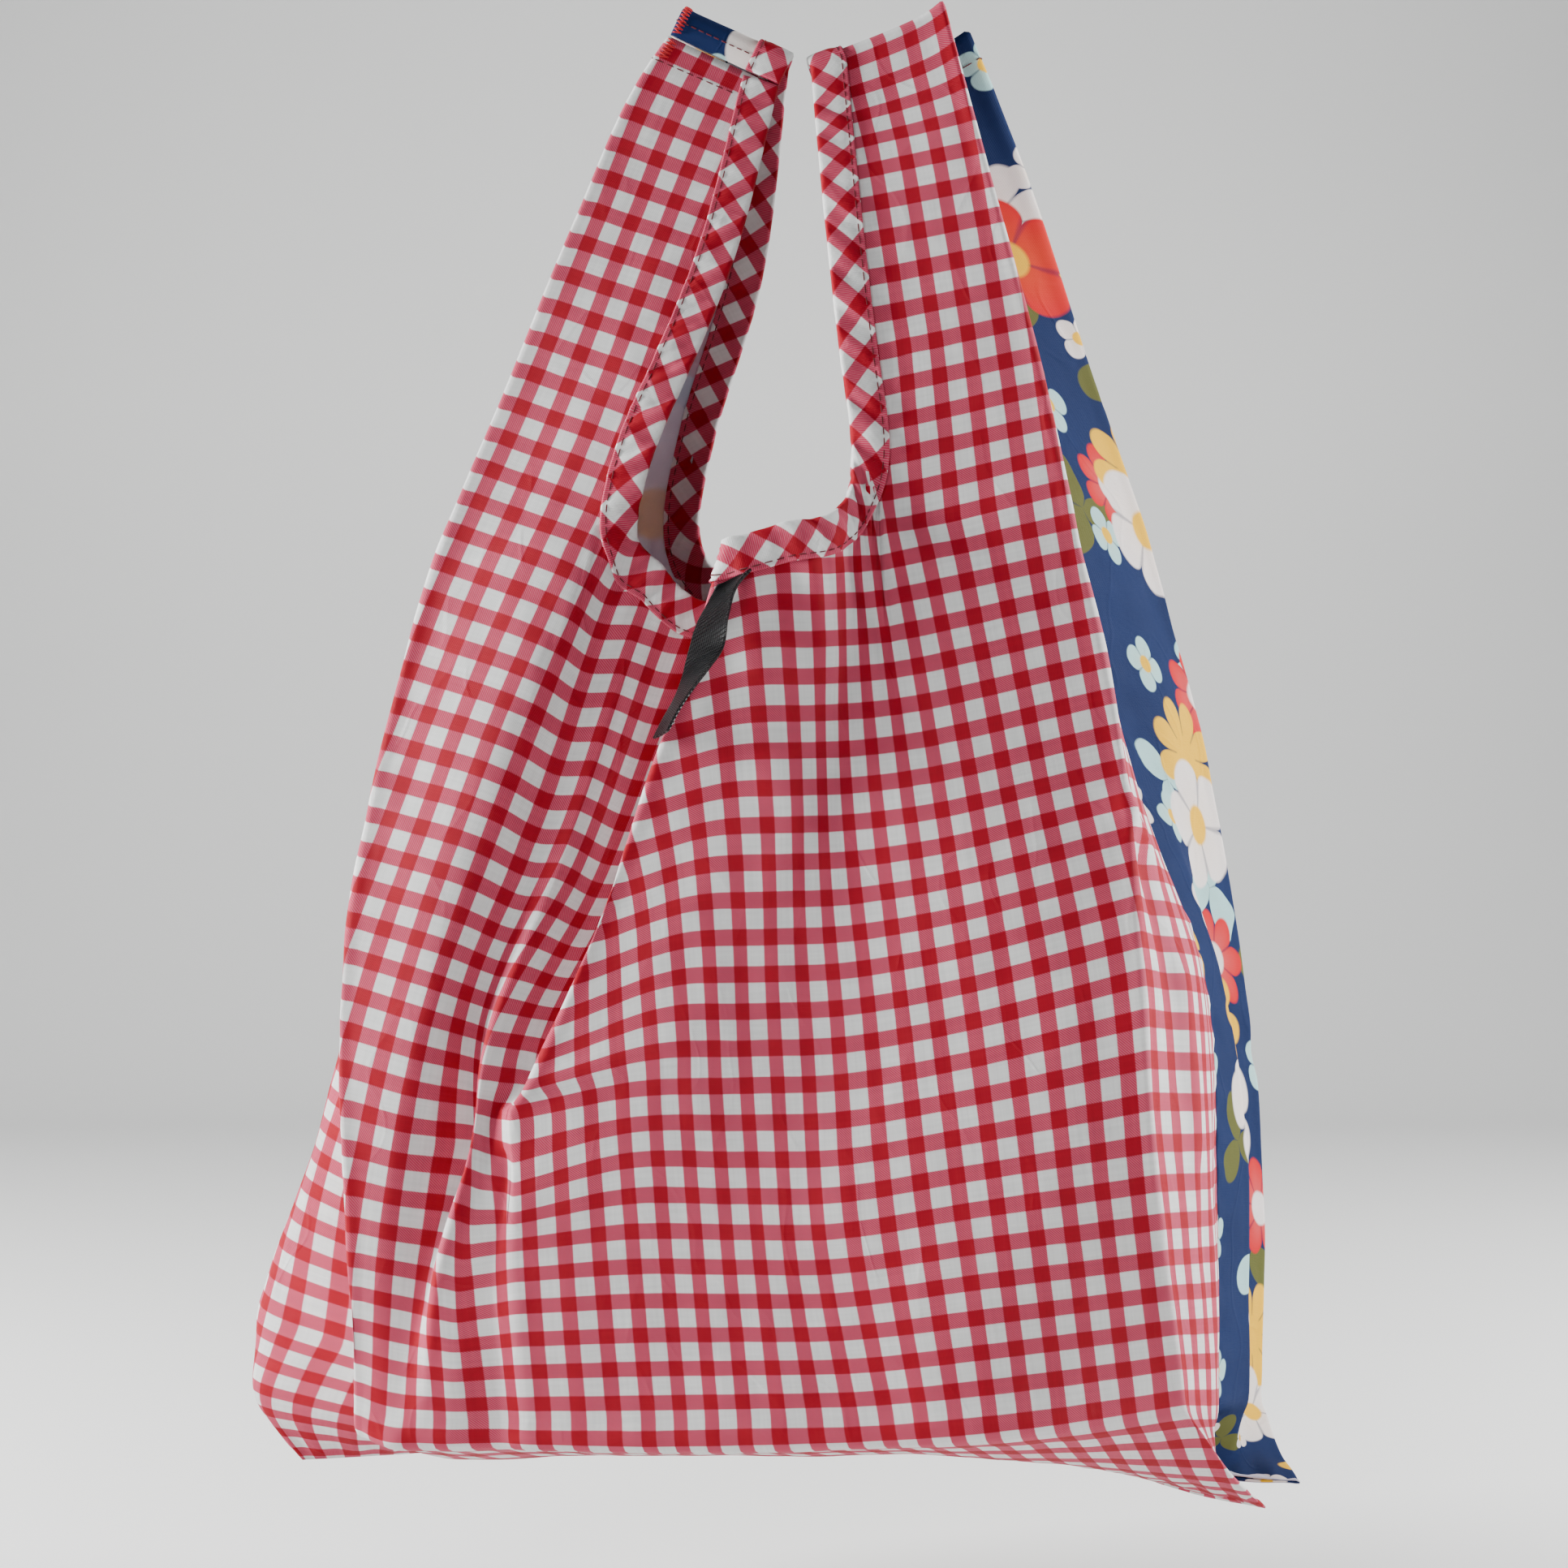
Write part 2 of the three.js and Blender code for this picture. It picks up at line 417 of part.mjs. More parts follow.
// The net of a panel: its points, its quads, and the two rims of the strip along the
// mouth, point by point, from the left handle's end round to the right handle's end.
function panelNet(name, guides) {
  const panel = { name, guides: prepare(name, guides) };
  const cache = new Map();
  const course = (v) => {
    const key = v.toFixed(3);
    if (!cache.has(key)) cache.set(key, courseAt(panel, v));
    return cache.get(key);
  };
  const { names, knots } = course(MOUTH_TOP_V);
  const leftEdge = names.indexOf('leftEdge');
  const rightEdge = names.indexOf('rightEdge');
  const stations = course(LOW_ROWS[LOW_ROWS.length - 1]).knots;
  const columns = [];
  for (let k = 0; k < stations.length - 1; k += 1) {
    const width = Math.max(knots[k + 1] - knots[k], stations[k + 1] - stations[k]);
    const inCrease = names[k].endsWith('Before') || names[k + 1].endsWith('After');
    const parts = inCrease ? CREASE_CUTS : Math.max(1, Math.round(width / COLUMN_STEP));
    let cuts = Array.from({ length: parts }, (_, n) => n / parts);
    if (k === leftEdge - 1) {
      const strip = 1 - EDGE_STRIP;
      const corner = CORNER_COLUMNS.map((f) => mix(strip, 1, f));
      cuts = [...cuts.filter((f) => f < strip - CUTS_APART), strip, ...corner];
    }
    if (k === rightEdge) {
      const corner = CORNER_COLUMNS.map((f) => mix(EDGE_STRIP, 0, f)).reverse();
      cuts = [0, ...corner, EDGE_STRIP, ...cuts.filter((f) => f > EDGE_STRIP + CUTS_APART)];
    }
    cuts.forEach((f) => columns.push({ k, f }));
  }
  columns.push({ k: stations.length - 2, f: 1 });
  const columnU = ({ k, f }, v) => {
    const line = course(v).knots;
    return mix(line[k], line[k + 1], f);
  };
  const left = columns.findIndex(({ k, f }) => k === leftEdge - 1 && f === 1 - EDGE_STRIP);
  const right = columns.findIndex(({ k, f }) => k === rightEdge && f === EDGE_STRIP);
  const leftHalf = -columnU(columns[left], MOUTH_TOP_V);
  const rightHalf = columnU(columns[right], MOUTH_TOP_V);

  const points = [];
  const index = new Map();
  const put = (key, u, v) => {
    index.set(key, points.length);
    points.push({ u, v, at: hang(panel, course, u, v) });
  };
  const bodyTop = LOW_ROWS.length + BODY_ROWS - 1;
  const leftRows = handleRows(name, HANDLES.left);
  const rightRows = handleRows(name, HANDLES.right);
  const inner = [];
  const outer = [];
  columns.forEach((column, c) => {
    let top = MOUTH_TOP_V;
    if (c > left && c < right) {
      top = MOUTH_V;
      for (let pass = 0; pass < STRIP_PASSES; pass += 1) {
        const u = columnU(column, top);
        const line = curveLine(name, u, u < 0 ? leftHalf : rightHalf, EDGE_STRIP_LOW);
        top = mix(top, line, STRIP_PULL);
      }
    }
    for (let r = 0; r <= bodyTop; r += 1) {
      const above = (r - LOW_ROWS.length + 1) / BODY_ROWS;
      const v = above <= 0 ? LOW_ROWS[r] : mix(LOW_ROWS[LOW_ROWS.length - 1], top, above);
      put(`${c},${r}`, columnU(column, v), v);
    }
    const rows = c <= left ? leftRows : rightRows;
    if (c <= left || c >= right) {
      rows.forEach((v, n) => put(`${c},${bodyTop + 1 + n}`, columnU(column, Math.min(v, c <= left
        ? HANDLES.left.turnV : HANDLES.right.turnV)), v));
    }
  });

  // Strip along the mouth: from the left handle's end down, round, and up to the right one's
  const strip = (key, u, v) => {
    inner.push(index.get(key));
    put(`edge${outer.length}`, u, v);
    outer.push(points.length - 1);
  };
  const edgeU = (v, handle, edge) => course(Math.min(v, handle.turnV)).knots[edge];
  for (let n = leftRows.length - 1; n >= 0; n -= 1) {
    const v = leftRows[n];
    strip(`${left},${bodyTop + 1 + n}`, edgeU(v, HANDLES.left, leftEdge), v);
  }
  for (let c = left; c <= right; c += 1) {
    const { u } = points[index.get(`${c},${bodyTop}`)];
    const place = Math.abs(u) / (u < 0 ? leftHalf : rightHalf);
    const corner = clamp((place - CORNER_FROM) / (CORNER_TO - CORNER_FROM), 0, 1);
    const even = Math.sign(u) * place * MOUTH_HALF;
    let cutU = even;
    for (let pass = 0; pass < STRIP_PASSES; pass += 1) {
      cutU = mix(columnU(columns[c], curveLine(name, cutU, MOUTH_HALF, 0)), even, corner);
    }
    strip(`${c},${bodyTop}`, cutU, curveLine(name, cutU, MOUTH_HALF, 0));
  }
  rightRows.forEach((v, n) => {
    strip(`${right},${bodyTop + 1 + n}`, edgeU(v, HANDLES.right, rightEdge), v);
  });

  const quads = [];
  for (let c = 0; c < columns.length - 1; c += 1) {
    for (let r = 0; index.has(`${c},${r + 1}`) || index.has(`${c + 1},${r + 1}`); r += 1) {
      const quad = [`${c},${r}`, `${c + 1},${r}`, `${c + 1},${r + 1}`, `${c},${r + 1}`];
      if (quad.every((key) => index.has(key))) quads.push(quad.map((key) => index.get(key)));
    }
  }
  for (let k = 0; k < inner.length - 1; k += 1) {
    quads.push([inner[k], inner[k + 1], outer[k + 1], outer[k]]);
  }
  return { points, quads, edge: outer.map((point, k) => [point, inner[k]]) };
}

// Outward normals of a net, from the quads around each point
function netNormals(net, flip) {
  const normals = net.points.map(() => new THREE.Vector3());
  const p = net.points.map(({ at }) => new THREE.Vector3(...at));
  for (const [a, b, c, d] of net.quads) {
    const other = new THREE.Vector3().subVectors(p[d], p[b]);
    const n = new THREE.Vector3().subVectors(p[c], p[a]).cross(other);
    [a, b, c, d].forEach((k) => normals[k].add(n));
  }
  return normals.map((n) => n.normalize().multiplyScalar(flip ? -1 : 1));
}

function meshOf(name, vertices, triangles, look) {
  const geometry = new THREE.BufferGeometry();
  geometry.setAttribute('position', new THREE.Float32BufferAttribute(vertices.flat(), 3));
  geometry.setIndex(triangles.flat());
  geometry.computeVertexNormals();
  const mesh = new THREE.Mesh(geometry, new THREE.MeshStandardMaterial(look));
  mesh.name = name;
  return mesh;
}

// A closed sheet: the net moved out and in by half its thickness, and walls round its rim
function sheetMesh(name, net, thickness, flip, look) {
  const normals = netNormals(net, flip);
  const count = net.points.length;
  const side = (sign) => net.points.map(({ at }, k) => [at[0] + sign * normals[k].x * thickness / 2,
    at[1] + sign * normals[k].y * thickness / 2, at[2] + sign * normals[k].z * thickness / 2]);
  const vertices = [...side(1), ...side(-1)];
  const triangles = [];
  const rim = new Map();
  const face = (a, b, c) => triangles.push(flip ? [a, c, b] : [a, b, c]);
  for (const [a, b, c, d] of net.quads) {
    face(a, b, c);
    face(a, c, d);
    face(count + a, count + c, count + b);
    face(count + a, count + d, count + c);
    for (const [p, q] of [[a, b], [b, c], [c, d], [d, a]]) {
      if (!rim.delete(`${q},${p}`)) rim.set(`${p},${q}`, [p, q]);
    }
  }
  for (const [p, q] of rim.values()) {
    face(p, count + p, q);
    face(q, count + p, count + q);
  }
  return meshOf(name, vertices, triangles, look);
}

// Binding: a channel folded over the mouth edge, with its sides parallel to the cloth
function bindingMesh(name, net, flip, look) {
  const normals = netNormals(net, flip);
  const inner = CLOTH / 2 + BINDING_GAP;
  const outer = inner + BINDING_WALL;
  const fold = -BINDING_EDGE_GAP - BINDING_WALL;
  const profile = [[BINDING_WIDTH, inner], [BINDING_WIDTH, outer], [0, outer], [fold, inner],
    [fold, -inner], [0, -outer], [BINDING_WIDTH, -outer], [BINDING_WIDTH, -inner],
    [-BINDING_EDGE_GAP, -inner], [-BINDING_EDGE_GAP, inner]];
  const vertices = [];
  for (const [edge, next] of net.edge) {
    const p = new THREE.Vector3(...net.points[edge].at);
    const q = new THREE.Vector3(...net.points[next].at);
    const inward = new THREE.Vector3().subVectors(q, p);
    const length = inward.length();
    for (const [inset, height] of profile) {
      const f = inset / length;
      const n = new THREE.Vector3();
      n.lerpVectors(normals[edge], normals[next], clamp(f, 0, 1)).normalize();
      const at = new THREE.Vector3().copy(p).addScaledVector(inward, f).addScaledVector(n, height);
      vertices.push([at.x, at.y, at.z]);
    }
  }
  const size = profile.length;
  const triangles = [];
  const face = (a, b, c) => triangles.push(flip ? [a, b, c] : [a, c, b]);
  for (let s = 0; s < net.edge.length - 1; s += 1) {
    for (let k = 0; k < size; k += 1) {
      const next = (k + 1) % size;
      const a = s * size + k;
      const b = s * size + next;
      if (profile[next][0] > profile[k][0]) {
        face(a, b, a + size);
        face(b, b + size, a + size);
      } else {
        face(a, b, b + size);
        face(a, b + size, a + size);
      }
    }
  }
  const outline = profile.map(([x, y]) => new THREE.Vector2(x, y));
  const last = (net.edge.length - 1) * size;
  for (const [a, b, c] of THREE.ShapeUtils.triangulateShape(outline, [])) {
    face(a, c, b);
    face(last + a, last + b, last + c);
  }
  return meshOf(name, vertices, triangles, look);
}

// A flat tape through a row of places, closed all round
function tapeMesh(name, rows, look) {
  const middles = rows.map(([x, y, z]) => new THREE.Vector3(x, y, z));
  const vertices = [];
  const triangles = [];
  rows.forEach(([, , , wx, wy, wz], k) => {
    const along = new THREE.Vector3()
      .subVectors(middles[Math.min(k + 1, rows.length - 1)], middles[Math.max(k - 1, 0)]).normalize();
    const across = new THREE.Vector3(wx, wy, wz).normalize();
    const out = new THREE.Vector3().crossVectors(along, across).normalize();
    for (const [side, face] of [[-1, -1], [1, -1], [1, 1], [-1, 1]]) {
      const corner = middles[k].clone().addScaledVector(across, (side * TAPE_WIDTH) / 2)
        .addScaledVector(out, (face * TAPE_THICKNESS) / 2);
      vertices.push([corner.x, corner.y, corner.z]);
    }
    if (k === 0) return;
    for (let side = 0; side < 4; side += 1) {
      const a = (k - 1) * 4 + side;
      const b = (k - 1) * 4 + ((side + 1) % 4);
      triangles.push([a, b, b + 4], [a, b + 4, a + 4]);
    }
  });
  const last = (rows.length - 1) * 4;
  triangles.push([0, 2, 1], [0, 3, 2], [last, last + 1, last + 2], [last, last + 2, last + 3]);
  return meshOf(name, vertices, triangles, look);
}

const frontNet = panelNet('front', FRONT_GUIDES);
const backNet = panelNet('back', BACK_GUIDES);

const bag = new THREE.Group();
const checked = { color: 0xb8455f, roughness: 0.62, metalness: 0 };
const flowered = { color: 0x1d3a5f, roughness: 0.6, metalness: 0 };
bag.add(sheetMesh('front_panel', frontNet, CLOTH, false, checked));
bag.add(sheetMesh('back_panel', backNet, CLOTH, true, flowered));
bag.add(bindingMesh('front_mouth_binding', frontNet, false, { ...checked, color: 0xa52c40 }));
bag.add(bindingMesh('back_mouth_binding', backNet, true, { ...checked, color: 0xa52c40 }));
bag.add(tapeMesh('tape', TAPE, { color: 0x101214, roughness: 0.7, metalness: 0 }));

export default bag;
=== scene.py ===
import bpy
import numpy as np
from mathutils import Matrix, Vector


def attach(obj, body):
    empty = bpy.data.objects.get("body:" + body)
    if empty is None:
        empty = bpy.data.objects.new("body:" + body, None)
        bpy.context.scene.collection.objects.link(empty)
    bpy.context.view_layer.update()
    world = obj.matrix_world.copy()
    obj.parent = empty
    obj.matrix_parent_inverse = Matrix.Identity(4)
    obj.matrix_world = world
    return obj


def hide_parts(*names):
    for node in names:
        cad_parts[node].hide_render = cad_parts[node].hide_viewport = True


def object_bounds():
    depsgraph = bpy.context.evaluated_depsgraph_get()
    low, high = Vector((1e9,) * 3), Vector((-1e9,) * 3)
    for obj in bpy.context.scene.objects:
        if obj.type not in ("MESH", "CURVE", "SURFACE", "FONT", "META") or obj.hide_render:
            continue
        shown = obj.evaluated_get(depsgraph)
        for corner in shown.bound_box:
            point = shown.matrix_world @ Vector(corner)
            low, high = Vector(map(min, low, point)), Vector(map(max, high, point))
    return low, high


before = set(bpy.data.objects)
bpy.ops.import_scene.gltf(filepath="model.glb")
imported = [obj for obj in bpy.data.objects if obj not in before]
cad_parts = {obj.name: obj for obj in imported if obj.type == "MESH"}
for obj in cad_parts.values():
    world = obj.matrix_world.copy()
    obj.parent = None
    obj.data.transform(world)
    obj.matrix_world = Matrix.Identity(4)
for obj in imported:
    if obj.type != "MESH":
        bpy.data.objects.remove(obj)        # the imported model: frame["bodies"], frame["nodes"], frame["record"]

# Vest-shaped cloth lunch bag, empty, hanging from its handles, with its print, weave and
# stitches. Cloth coordinates are in millimetres: u runs across a panel from its middle
# line, v runs up it from the fold at the bag's bottom edge. The UV maps hold them in
# checks of 10 mm. Places are worked out in millimetres and put into the meshes in metres.

bl_info = {
    "name": "Cloth Lunch Bag",
    "version": (1, 0, 0),
    "blender": (4, 5, 0),
    "location": "View3D > Sidebar > Lunch Bag",
    "description": "Builds a hanging cloth lunch bag with checks, a flower print and bindings",
    "category": "Add Mesh",
}

MM = 0.001
CHECK = 10.0                    # one check of the cloth, and one unit of the UV maps
BODY = "root"
CAD_BOX = [list(corner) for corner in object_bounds()]
TINY = 1e-9                     # keeps divisions from zero
LEAST_STEP = 1e-6               # shortest step that a slope is taken over

# Cut of the panels
SEAM_V = -60.0                  # bottom seam, measured down from the bottom fold
MOUTH_HALF = 91.0               # half width of the mouth cut
MOUTH_V = 253.0                 # lowest line of the mouth cut
MOUTH_TOP_V = 304.0             # where the mouth's round corners end
MOUTH_RISE = MOUTH_TOP_V - MOUTH_V
# Squareness of those corners, left and right: the front's left one is drawn round
MOUTH_POWER = {"front": (2.8, 3.8), "back": (5, 3.8)}
EAR_U = 159.0                   # pressed side crease, caught in the bottom seam
SIDE_SEAM_U = 212.0

# Handles: each hangs over a small round at its top. "lean" is the way up, in x and z,
# "peak" is how far its outer corner is pulled up above the rest of its top.
TURN_RADIUS = 3.0
TURN_LENGTH = np.pi * TURN_RADIUS
TURN_ROWS = 13
SEAM_GAP = 0.6
HANDLES = {
    "left": dict(over="back", turn_v=409.5, lean=(0.425, 0.906), drop=7.2, end_v=408.5, peak=0.0),
    "right": dict(over="front", turn_v=397.0, lean=(-0.367, 0.93), drop=6.0, end_v=391.0, peak=3.0),
}
PEAK_U = 142.0                  # the corner, as u
PEAK_REACH = 6.0                # how fast the top falls away beside it
PEAK_FLAT = 12.0                # below a handle's top the pull is full for this far
PEAK_FADE = 25.0                # and then fades out

# Black woven tape: [x, y, z] of its middle and [wx, wy, wz], the way across it
TAPE = [
    [-22.3, -46.9, -166.4, 0.9, -0.04, 0.4],
    [-25.2, -48.4, -171, 0.78, -0.45, 0.43],
    [-28.3, -50, -178.5, 0.86, -0.48, 0.2],
    [-30, -50.6, -185.8, 0.95, -0.25, 0.15],
    [-32.6, -51.4, -191.4, 0.78, -0.55, 0.3],
    [-35.9, -52.3, -197.3, 0.55, -0.78, 0.3],
    [-39.3, -52.3, -203.4, 0.45, -0.85, 0.25],
    [-41.8, -51.4, -208.8, 0.42, -0.88, 0.2],
]

# Side seams, shared by both panels: [v, u, x, y, z, gap], with half the gap between the
# panels' middles. It is small where they meet edge to edge, more where they lie together.
SIDE_SEAMS = {
    "left": [
      [0, -212, -131, 11, -361, 0.7], [60, -212, -112, 13, -313, 0.7],
      [120, -212, -103.5, 9, -264, 0.7], [180, -207, -91.5, 5, -215, 0.7],
      [240, -196, -74, 2, -161, 0.8], [300, -183, -59, 0.5, -107, 0.8],
      [350, -171, -42, 0, -61, 0.9]],
    "right": [
      [0, 212, 114.3, -4, -400, 0.4], [60, 212, 114.7, -1, -338, 0.4],
      [120, 212, 110.3, -2, -274, 0.4], [180, 207, 86.5, 2, -216, 0.4],
      [240, 196, 73, 0, -156, 0.4], [300, 183, 54, 0, -98, 0.45],
      [350, 171, 33, 0, -52, 0.75]],
}
SEAM_TOPS = {
    "front": {"left": [408.5, -160, -26, 0, -15.9, 1.2], "right": [397, 160, 22, 0, -6.2, 1.2]},
    "back": {"left": [409.5, -160, -23, 0, -9.3, 1.2], "right": [391, 160, 24.2, 0, -12, 1.2]},
}

# Guide lines. Each one follows a fold, an edge or a soft wave up the bag. Its table
# has a row for each course, with the columns [v, u, x, y, z]: where that course of
# the cloth (v, u) hangs (x, y, z). "crease" is how tight the cloth turns there.
# "bulge" moves it along x between the bottom fold and the bottom seam.
# A guide that "follows" an edge moves with it above the mouth's line. One with "seam"
# has the rows of that side seam.
FRONT_GUIDES = [
    dict(name="leftSeam", seam="left"),
    dict(name="leftBulge", bulge=-8, rows=[
      [0, -177, -158, -6, -370], [60, -170, -141, -9, -320], [120, -177, -127, -10, -269],
      [180, -178, -112, -11, -217], [240, -173, -90, -9, -162], [300, -167, -69, -7, -107],
      [350, -159, -51, -5, -60], [408.5, -150, -29, -1.2, -14.5]]),
    dict(name="leftDip", rows=[
      [0, -118, -108, -36, -388], [60, -122, -110, -34, -338], [120, -144, -104, -30, -278],
      [180, -155, -96, -26, -222], [240, -158, -85, -20, -164], [300, -157, -66, -14, -107],
      [350, -154, -53, -8, -60], [408.5, -144, -34, -1.2, -12.2]]),
    dict(name="leftFold", crease=4, rows=[
      [0, -96, -124, -50, -396], [60, -101, -127, -48, -344], [120, -116, -130, -40, -282],
      [180, -128, -122, -34, -224], [240, -135, -107, -28, -164], [300, -136.5, -86, -18, -109],
      [350, -136.5, -68, -10, -62], [398, -134.5, -48, -4, -17.5],
      [408.5, -134, -42, -2.4, -8.4]]),
    dict(name="leftEdge", rows=[
      [0, -91, -119, -52, -398], [60, -91, -117, -49, -346], [120, -91, -107.5, -45, -288.5],
      [180, -91, -89, -41, -233.5], [240, -91, -68, -35, -179], [300, -91, -44, -25, -125],
      [350, -88, -25, -13, -77], [408.5, -96, -11.3, -3, -22.9]]),
    dict(name="smallFold", crease=3, follows="leftEdge", rows=[
      [0, -77, -106, -54, -399], [60, -67, -101, -54, -349], [90, -59, -93.5, -52, -321],
      [120, -58, -89.5, -48, -294], [180, -68, -69, -39, -240], [240, -71, -52, -33, -184]]),
    dict(name="underLap", follows="leftEdge", rows=[
      [0, -66, -97, -55, -399], [60, -60, -95, -54, -350.5], [90, -53, -88.5, -51, -323],
      [105, -50, -86, -48, -309], [112, -49.5, -83.5, -46.5, -302.5],
      [120, -45, -78.5, -45, -296], [180, -45, -55, -36, -246], [240, -52, -39, -31, -188]]),
    dict(name="bigFold", crease=4.5, follows="rightEdge", rows=[
      [0, -45, -77, -57, -399], [60, -45, -81, -56, -348], [90, -44, -81, -54, -325],
      [105, -43.5, -81.5, -53, -309], [112, -36.5, -78.3, -53, -304],
      [120, -33.7, -75.8, -51, -298.6], [150, -18.7, -62.4, -49.5, -267.2],
      [180, 1.5, -50.3, -48, -234.5], [240, 30, -29.5, -45, -171]]),
    dict(name="belly", follows="rightEdge", rows=[
      [0, -12, -46, -59, -399], [60, -12, -51, -57, -345], [90, -10, -51.5, -55, -317],
      [120, 2, -43, -52, -288], [180, 26, -27, -48, -228], [240, 47, -12, -45, -167]]),
    dict(name="centre", follows="rightEdge", rows=[
      [0, 23, -16, -60, -398], [60, 23, -21.5, -57, -345], [120, 33, -17.5, -51, -287],
      [180, 48, -7, -48, -227], [240, 62, 1, -44, -167]]),
    dict(name="trough", follows="rightEdge", rows=[
      [0, 52, 12, -62, -397], [60, 55, 5, -59, -344.5], [120, 62, 7, -51, -286],
      [180, 70, 8, -46, -226.5], [240, 76, 9.5, -40, -166]]),
    dict(name="rightEdge", rows=[
      [0, 91, 47, -64, -394], [60, 91, 39.5, -61, -339], [120, 91, 32.5, -53, -281.5],
      [180, 91, 25, -48, -224.5], [240, 91, 17, -39, -165.5], [300, 91, 8, -26, -108.5],
      [350, 93, 2.5, -12, -55], [397, 98, -0.5, -3, -14.8]]),
    dict(name="rightFold", crease=4, rows=[
      [0, 147, 99, -52, -390], [60, 146, 90.5, -60, -332], [120, 147, 86.5, -54, -267.5],
      [180, 155, 82, -48, -211.5], [240, 154, 71, -38, -154], [300, 149.5, 60, -25, -97],
      [350, 144.5, 48, -13, -46], [397, 142, 37, -2.4, 0]]),
    dict(name="rightPuff", rows=[
      [0, 176, 109, -34, -394], [60, 178, 107, -34, -335], [120, 177, 103, -30, -271],
      [180, 182, 87, -22, -214], [240, 174, 71, -20, -155], [300, 165, 58, -12, -97],
      [350, 157, 41, -6, -48], [397, 150, 29, -1.2, -3.1]]),
    dict(name="rightSeam", seam="right"),
]

BACK_GUIDES = [
    dict(name="leftSeam", seam="left"),
    dict(name="leftTuck", rows=[
      [0, -185, -137, 32, -373], [60, -184, -127, 33, -324], [120, -184, -120, 30, -272],
      [180, -181, -108, 26, -219], [240, -174, -91, 20, -163], [300, -167, -73, 13, -107],
      [352, -158, -55, 6, -60], [409.5, -151, -31, 1.2, -5.6]]),
    dict(name="leftFold", crease=5, rows=[
      [0, -157, -138, 52, -391], [60, -156, -139, 52, -336], [120, -155, -133, 50, -280],
      [180, -154, -121, 46, -221], [240, -150, -103, 38, -162], [300, -150, -86, 26, -104],
      [352, -146, -66, 13, -55], [409.5, -142, -38.5, 2.4, -2.1]]),
    dict(name="leftEdge", rows=[
      [0, -91, -84, 57, -403], [60, -91, -83, 55, -349], [120, -91, -74, 51, -294],
      [180, -91, -60, 46, -237], [240, -91, -45, 38, -178], [300, -91, -30, 27, -118],
      [352, -88, -16, 13, -74], [409.5, -96, -8.3, 3, -16.3]]),
    dict(name="backFold", crease=8, follows="leftEdge", rows=[
      [0, 20, 16, 53, -406], [60, 15, 17, 54, -353], [120, 0, 16, 53, -297],
      [180, -14, 14, 48, -240], [240, -28, 14, 41, -181]]),
    dict(name="underLap", follows="rightEdge", rows=[
      [0, 44, 34, 52, -407], [60, 43, 32, 50, -354], [120, 44, 27, 44, -297],
      [180, 48, 17, 33, -239], [240, 60, 15, 24, -180]]),
    dict(name="rightEdge", rows=[
      [0, 91, 80, 58, -407], [60, 91, 78, 56, -353], [120, 91, 72.5, 51, -292],
      [180, 91, 58, 46, -230], [240, 91, 43, 38, -169], [300, 91, 22, 26, -112],
      [350, 93, 9, 13, -61], [391, 98, 2.2, 3, -20.2]]),
    dict(name="rightFold", crease=5, rows=[
      [0, 154, 136, 52, -410], [60, 154, 137, 51, -350], [120, 153, 131.5, 50, -284],
      [180, 155, 119.5, 46, -217], [240, 150, 102.5, 38, -155.5], [300, 150.5, 80.5, 26, -96],
      [350, 146, 62, 13, -46], [391, 139.5, 44.5, 2.4, -5.2]]),
    dict(name="rightDip", rows=[
      [0, 174, 125, 32, -405], [60, 176, 126, 32, -344], [120, 180, 116, 28, -279],
      [180, 180, 106, 26, -217], [240, 173, 89, 20, -156], [300, 167, 66, 13, -97],
      [350, 158, 48, 7, -50], [391, 151, 33.1, 1.2, -9.4]]),
    dict(name="rightRidge", crease=4, rows=[
      [0, 188, 127, 19, -402], [60, 188, 127.5, 21, -341], [120, 194, 118, 14, -277],
      [180, 194, 97, 15, -216], [240, 185, 82, 11, -156], [300, 175, 60, 7, -97],
      [350, 164, 40, 4, -51], [391, 155, 29.2, 1.2, -10.5]]),
    dict(name="rightSeam", seam="right"),
]
# Hollow beside the small fold: [v, shift in x, shift in y] from the fold's ridge
SMALL_HOLLOW = [[0, -7.5, 0], [60, -1, 6], [90, 2, 9], [120, -1, 7], [180, -7, 1], [240, -8, 0]]
SMALL_HOLLOW_REACH = 8.0
# The guide before which a panel's big hollow lies, and how tight the hollow turns
BIG_HOLLOWS = {"front": {"bigFold": 14}, "back": {"underLap": 17}}
CREASE_COLUMNS = 4              # columns on each side of a crease
HIDDEN_EDGE = 0.1               # part of the way to the side fold that the cloth stops short
HIDDEN_LOW = 4.0                # the same under the lowest part of the mouth, in millimetres

# Short pinch folds: [u, v, du, dv, width, height] with their start, run and size
PINCHES = {
    "front": [[40, 246, 6, -60, 5, 1.5], [58, 247, 14, -56, 4, 1.5], [72, 252, 26, -46, 4, -1.5],
              [86, 262, 40, -30, 4.5, 1.6], [92, 280, 46, -10, 4, 1.2], [20, 244, -4, -50, 5, -0.9],
              [-30, 246, -6, -40, 4, 0.8], [-74, 254, -24, -36, 4, 0.7], [-88, 268, -40, -22, 4, 0.9],
              [150, 165, 24, -22, 4, 2.0], [158, 150, 6, -70, 3.5, -1.8],
              [168, 120, 6, -80, 3.5, 1.6], [173, 70, 4, -60, 3, -1.2]],
    "back": [[-60, 247, -14, -46, 4, 0.9], [-86, 262, -40, -26, 4.5, 1.0], [30, 245, 5, -50, 5, 0.9],
             [84, 260, 40, -24, 4, 0.9], [150, 100, 24, 10, 5, -1.2]],
}
CREASE_STRETCH = 0.9            # speed of the cloth over a crease's top
HOLLOW_LEAN = np.array([0.86, 0.5])     # way a big fold's hollow runs, along x and y

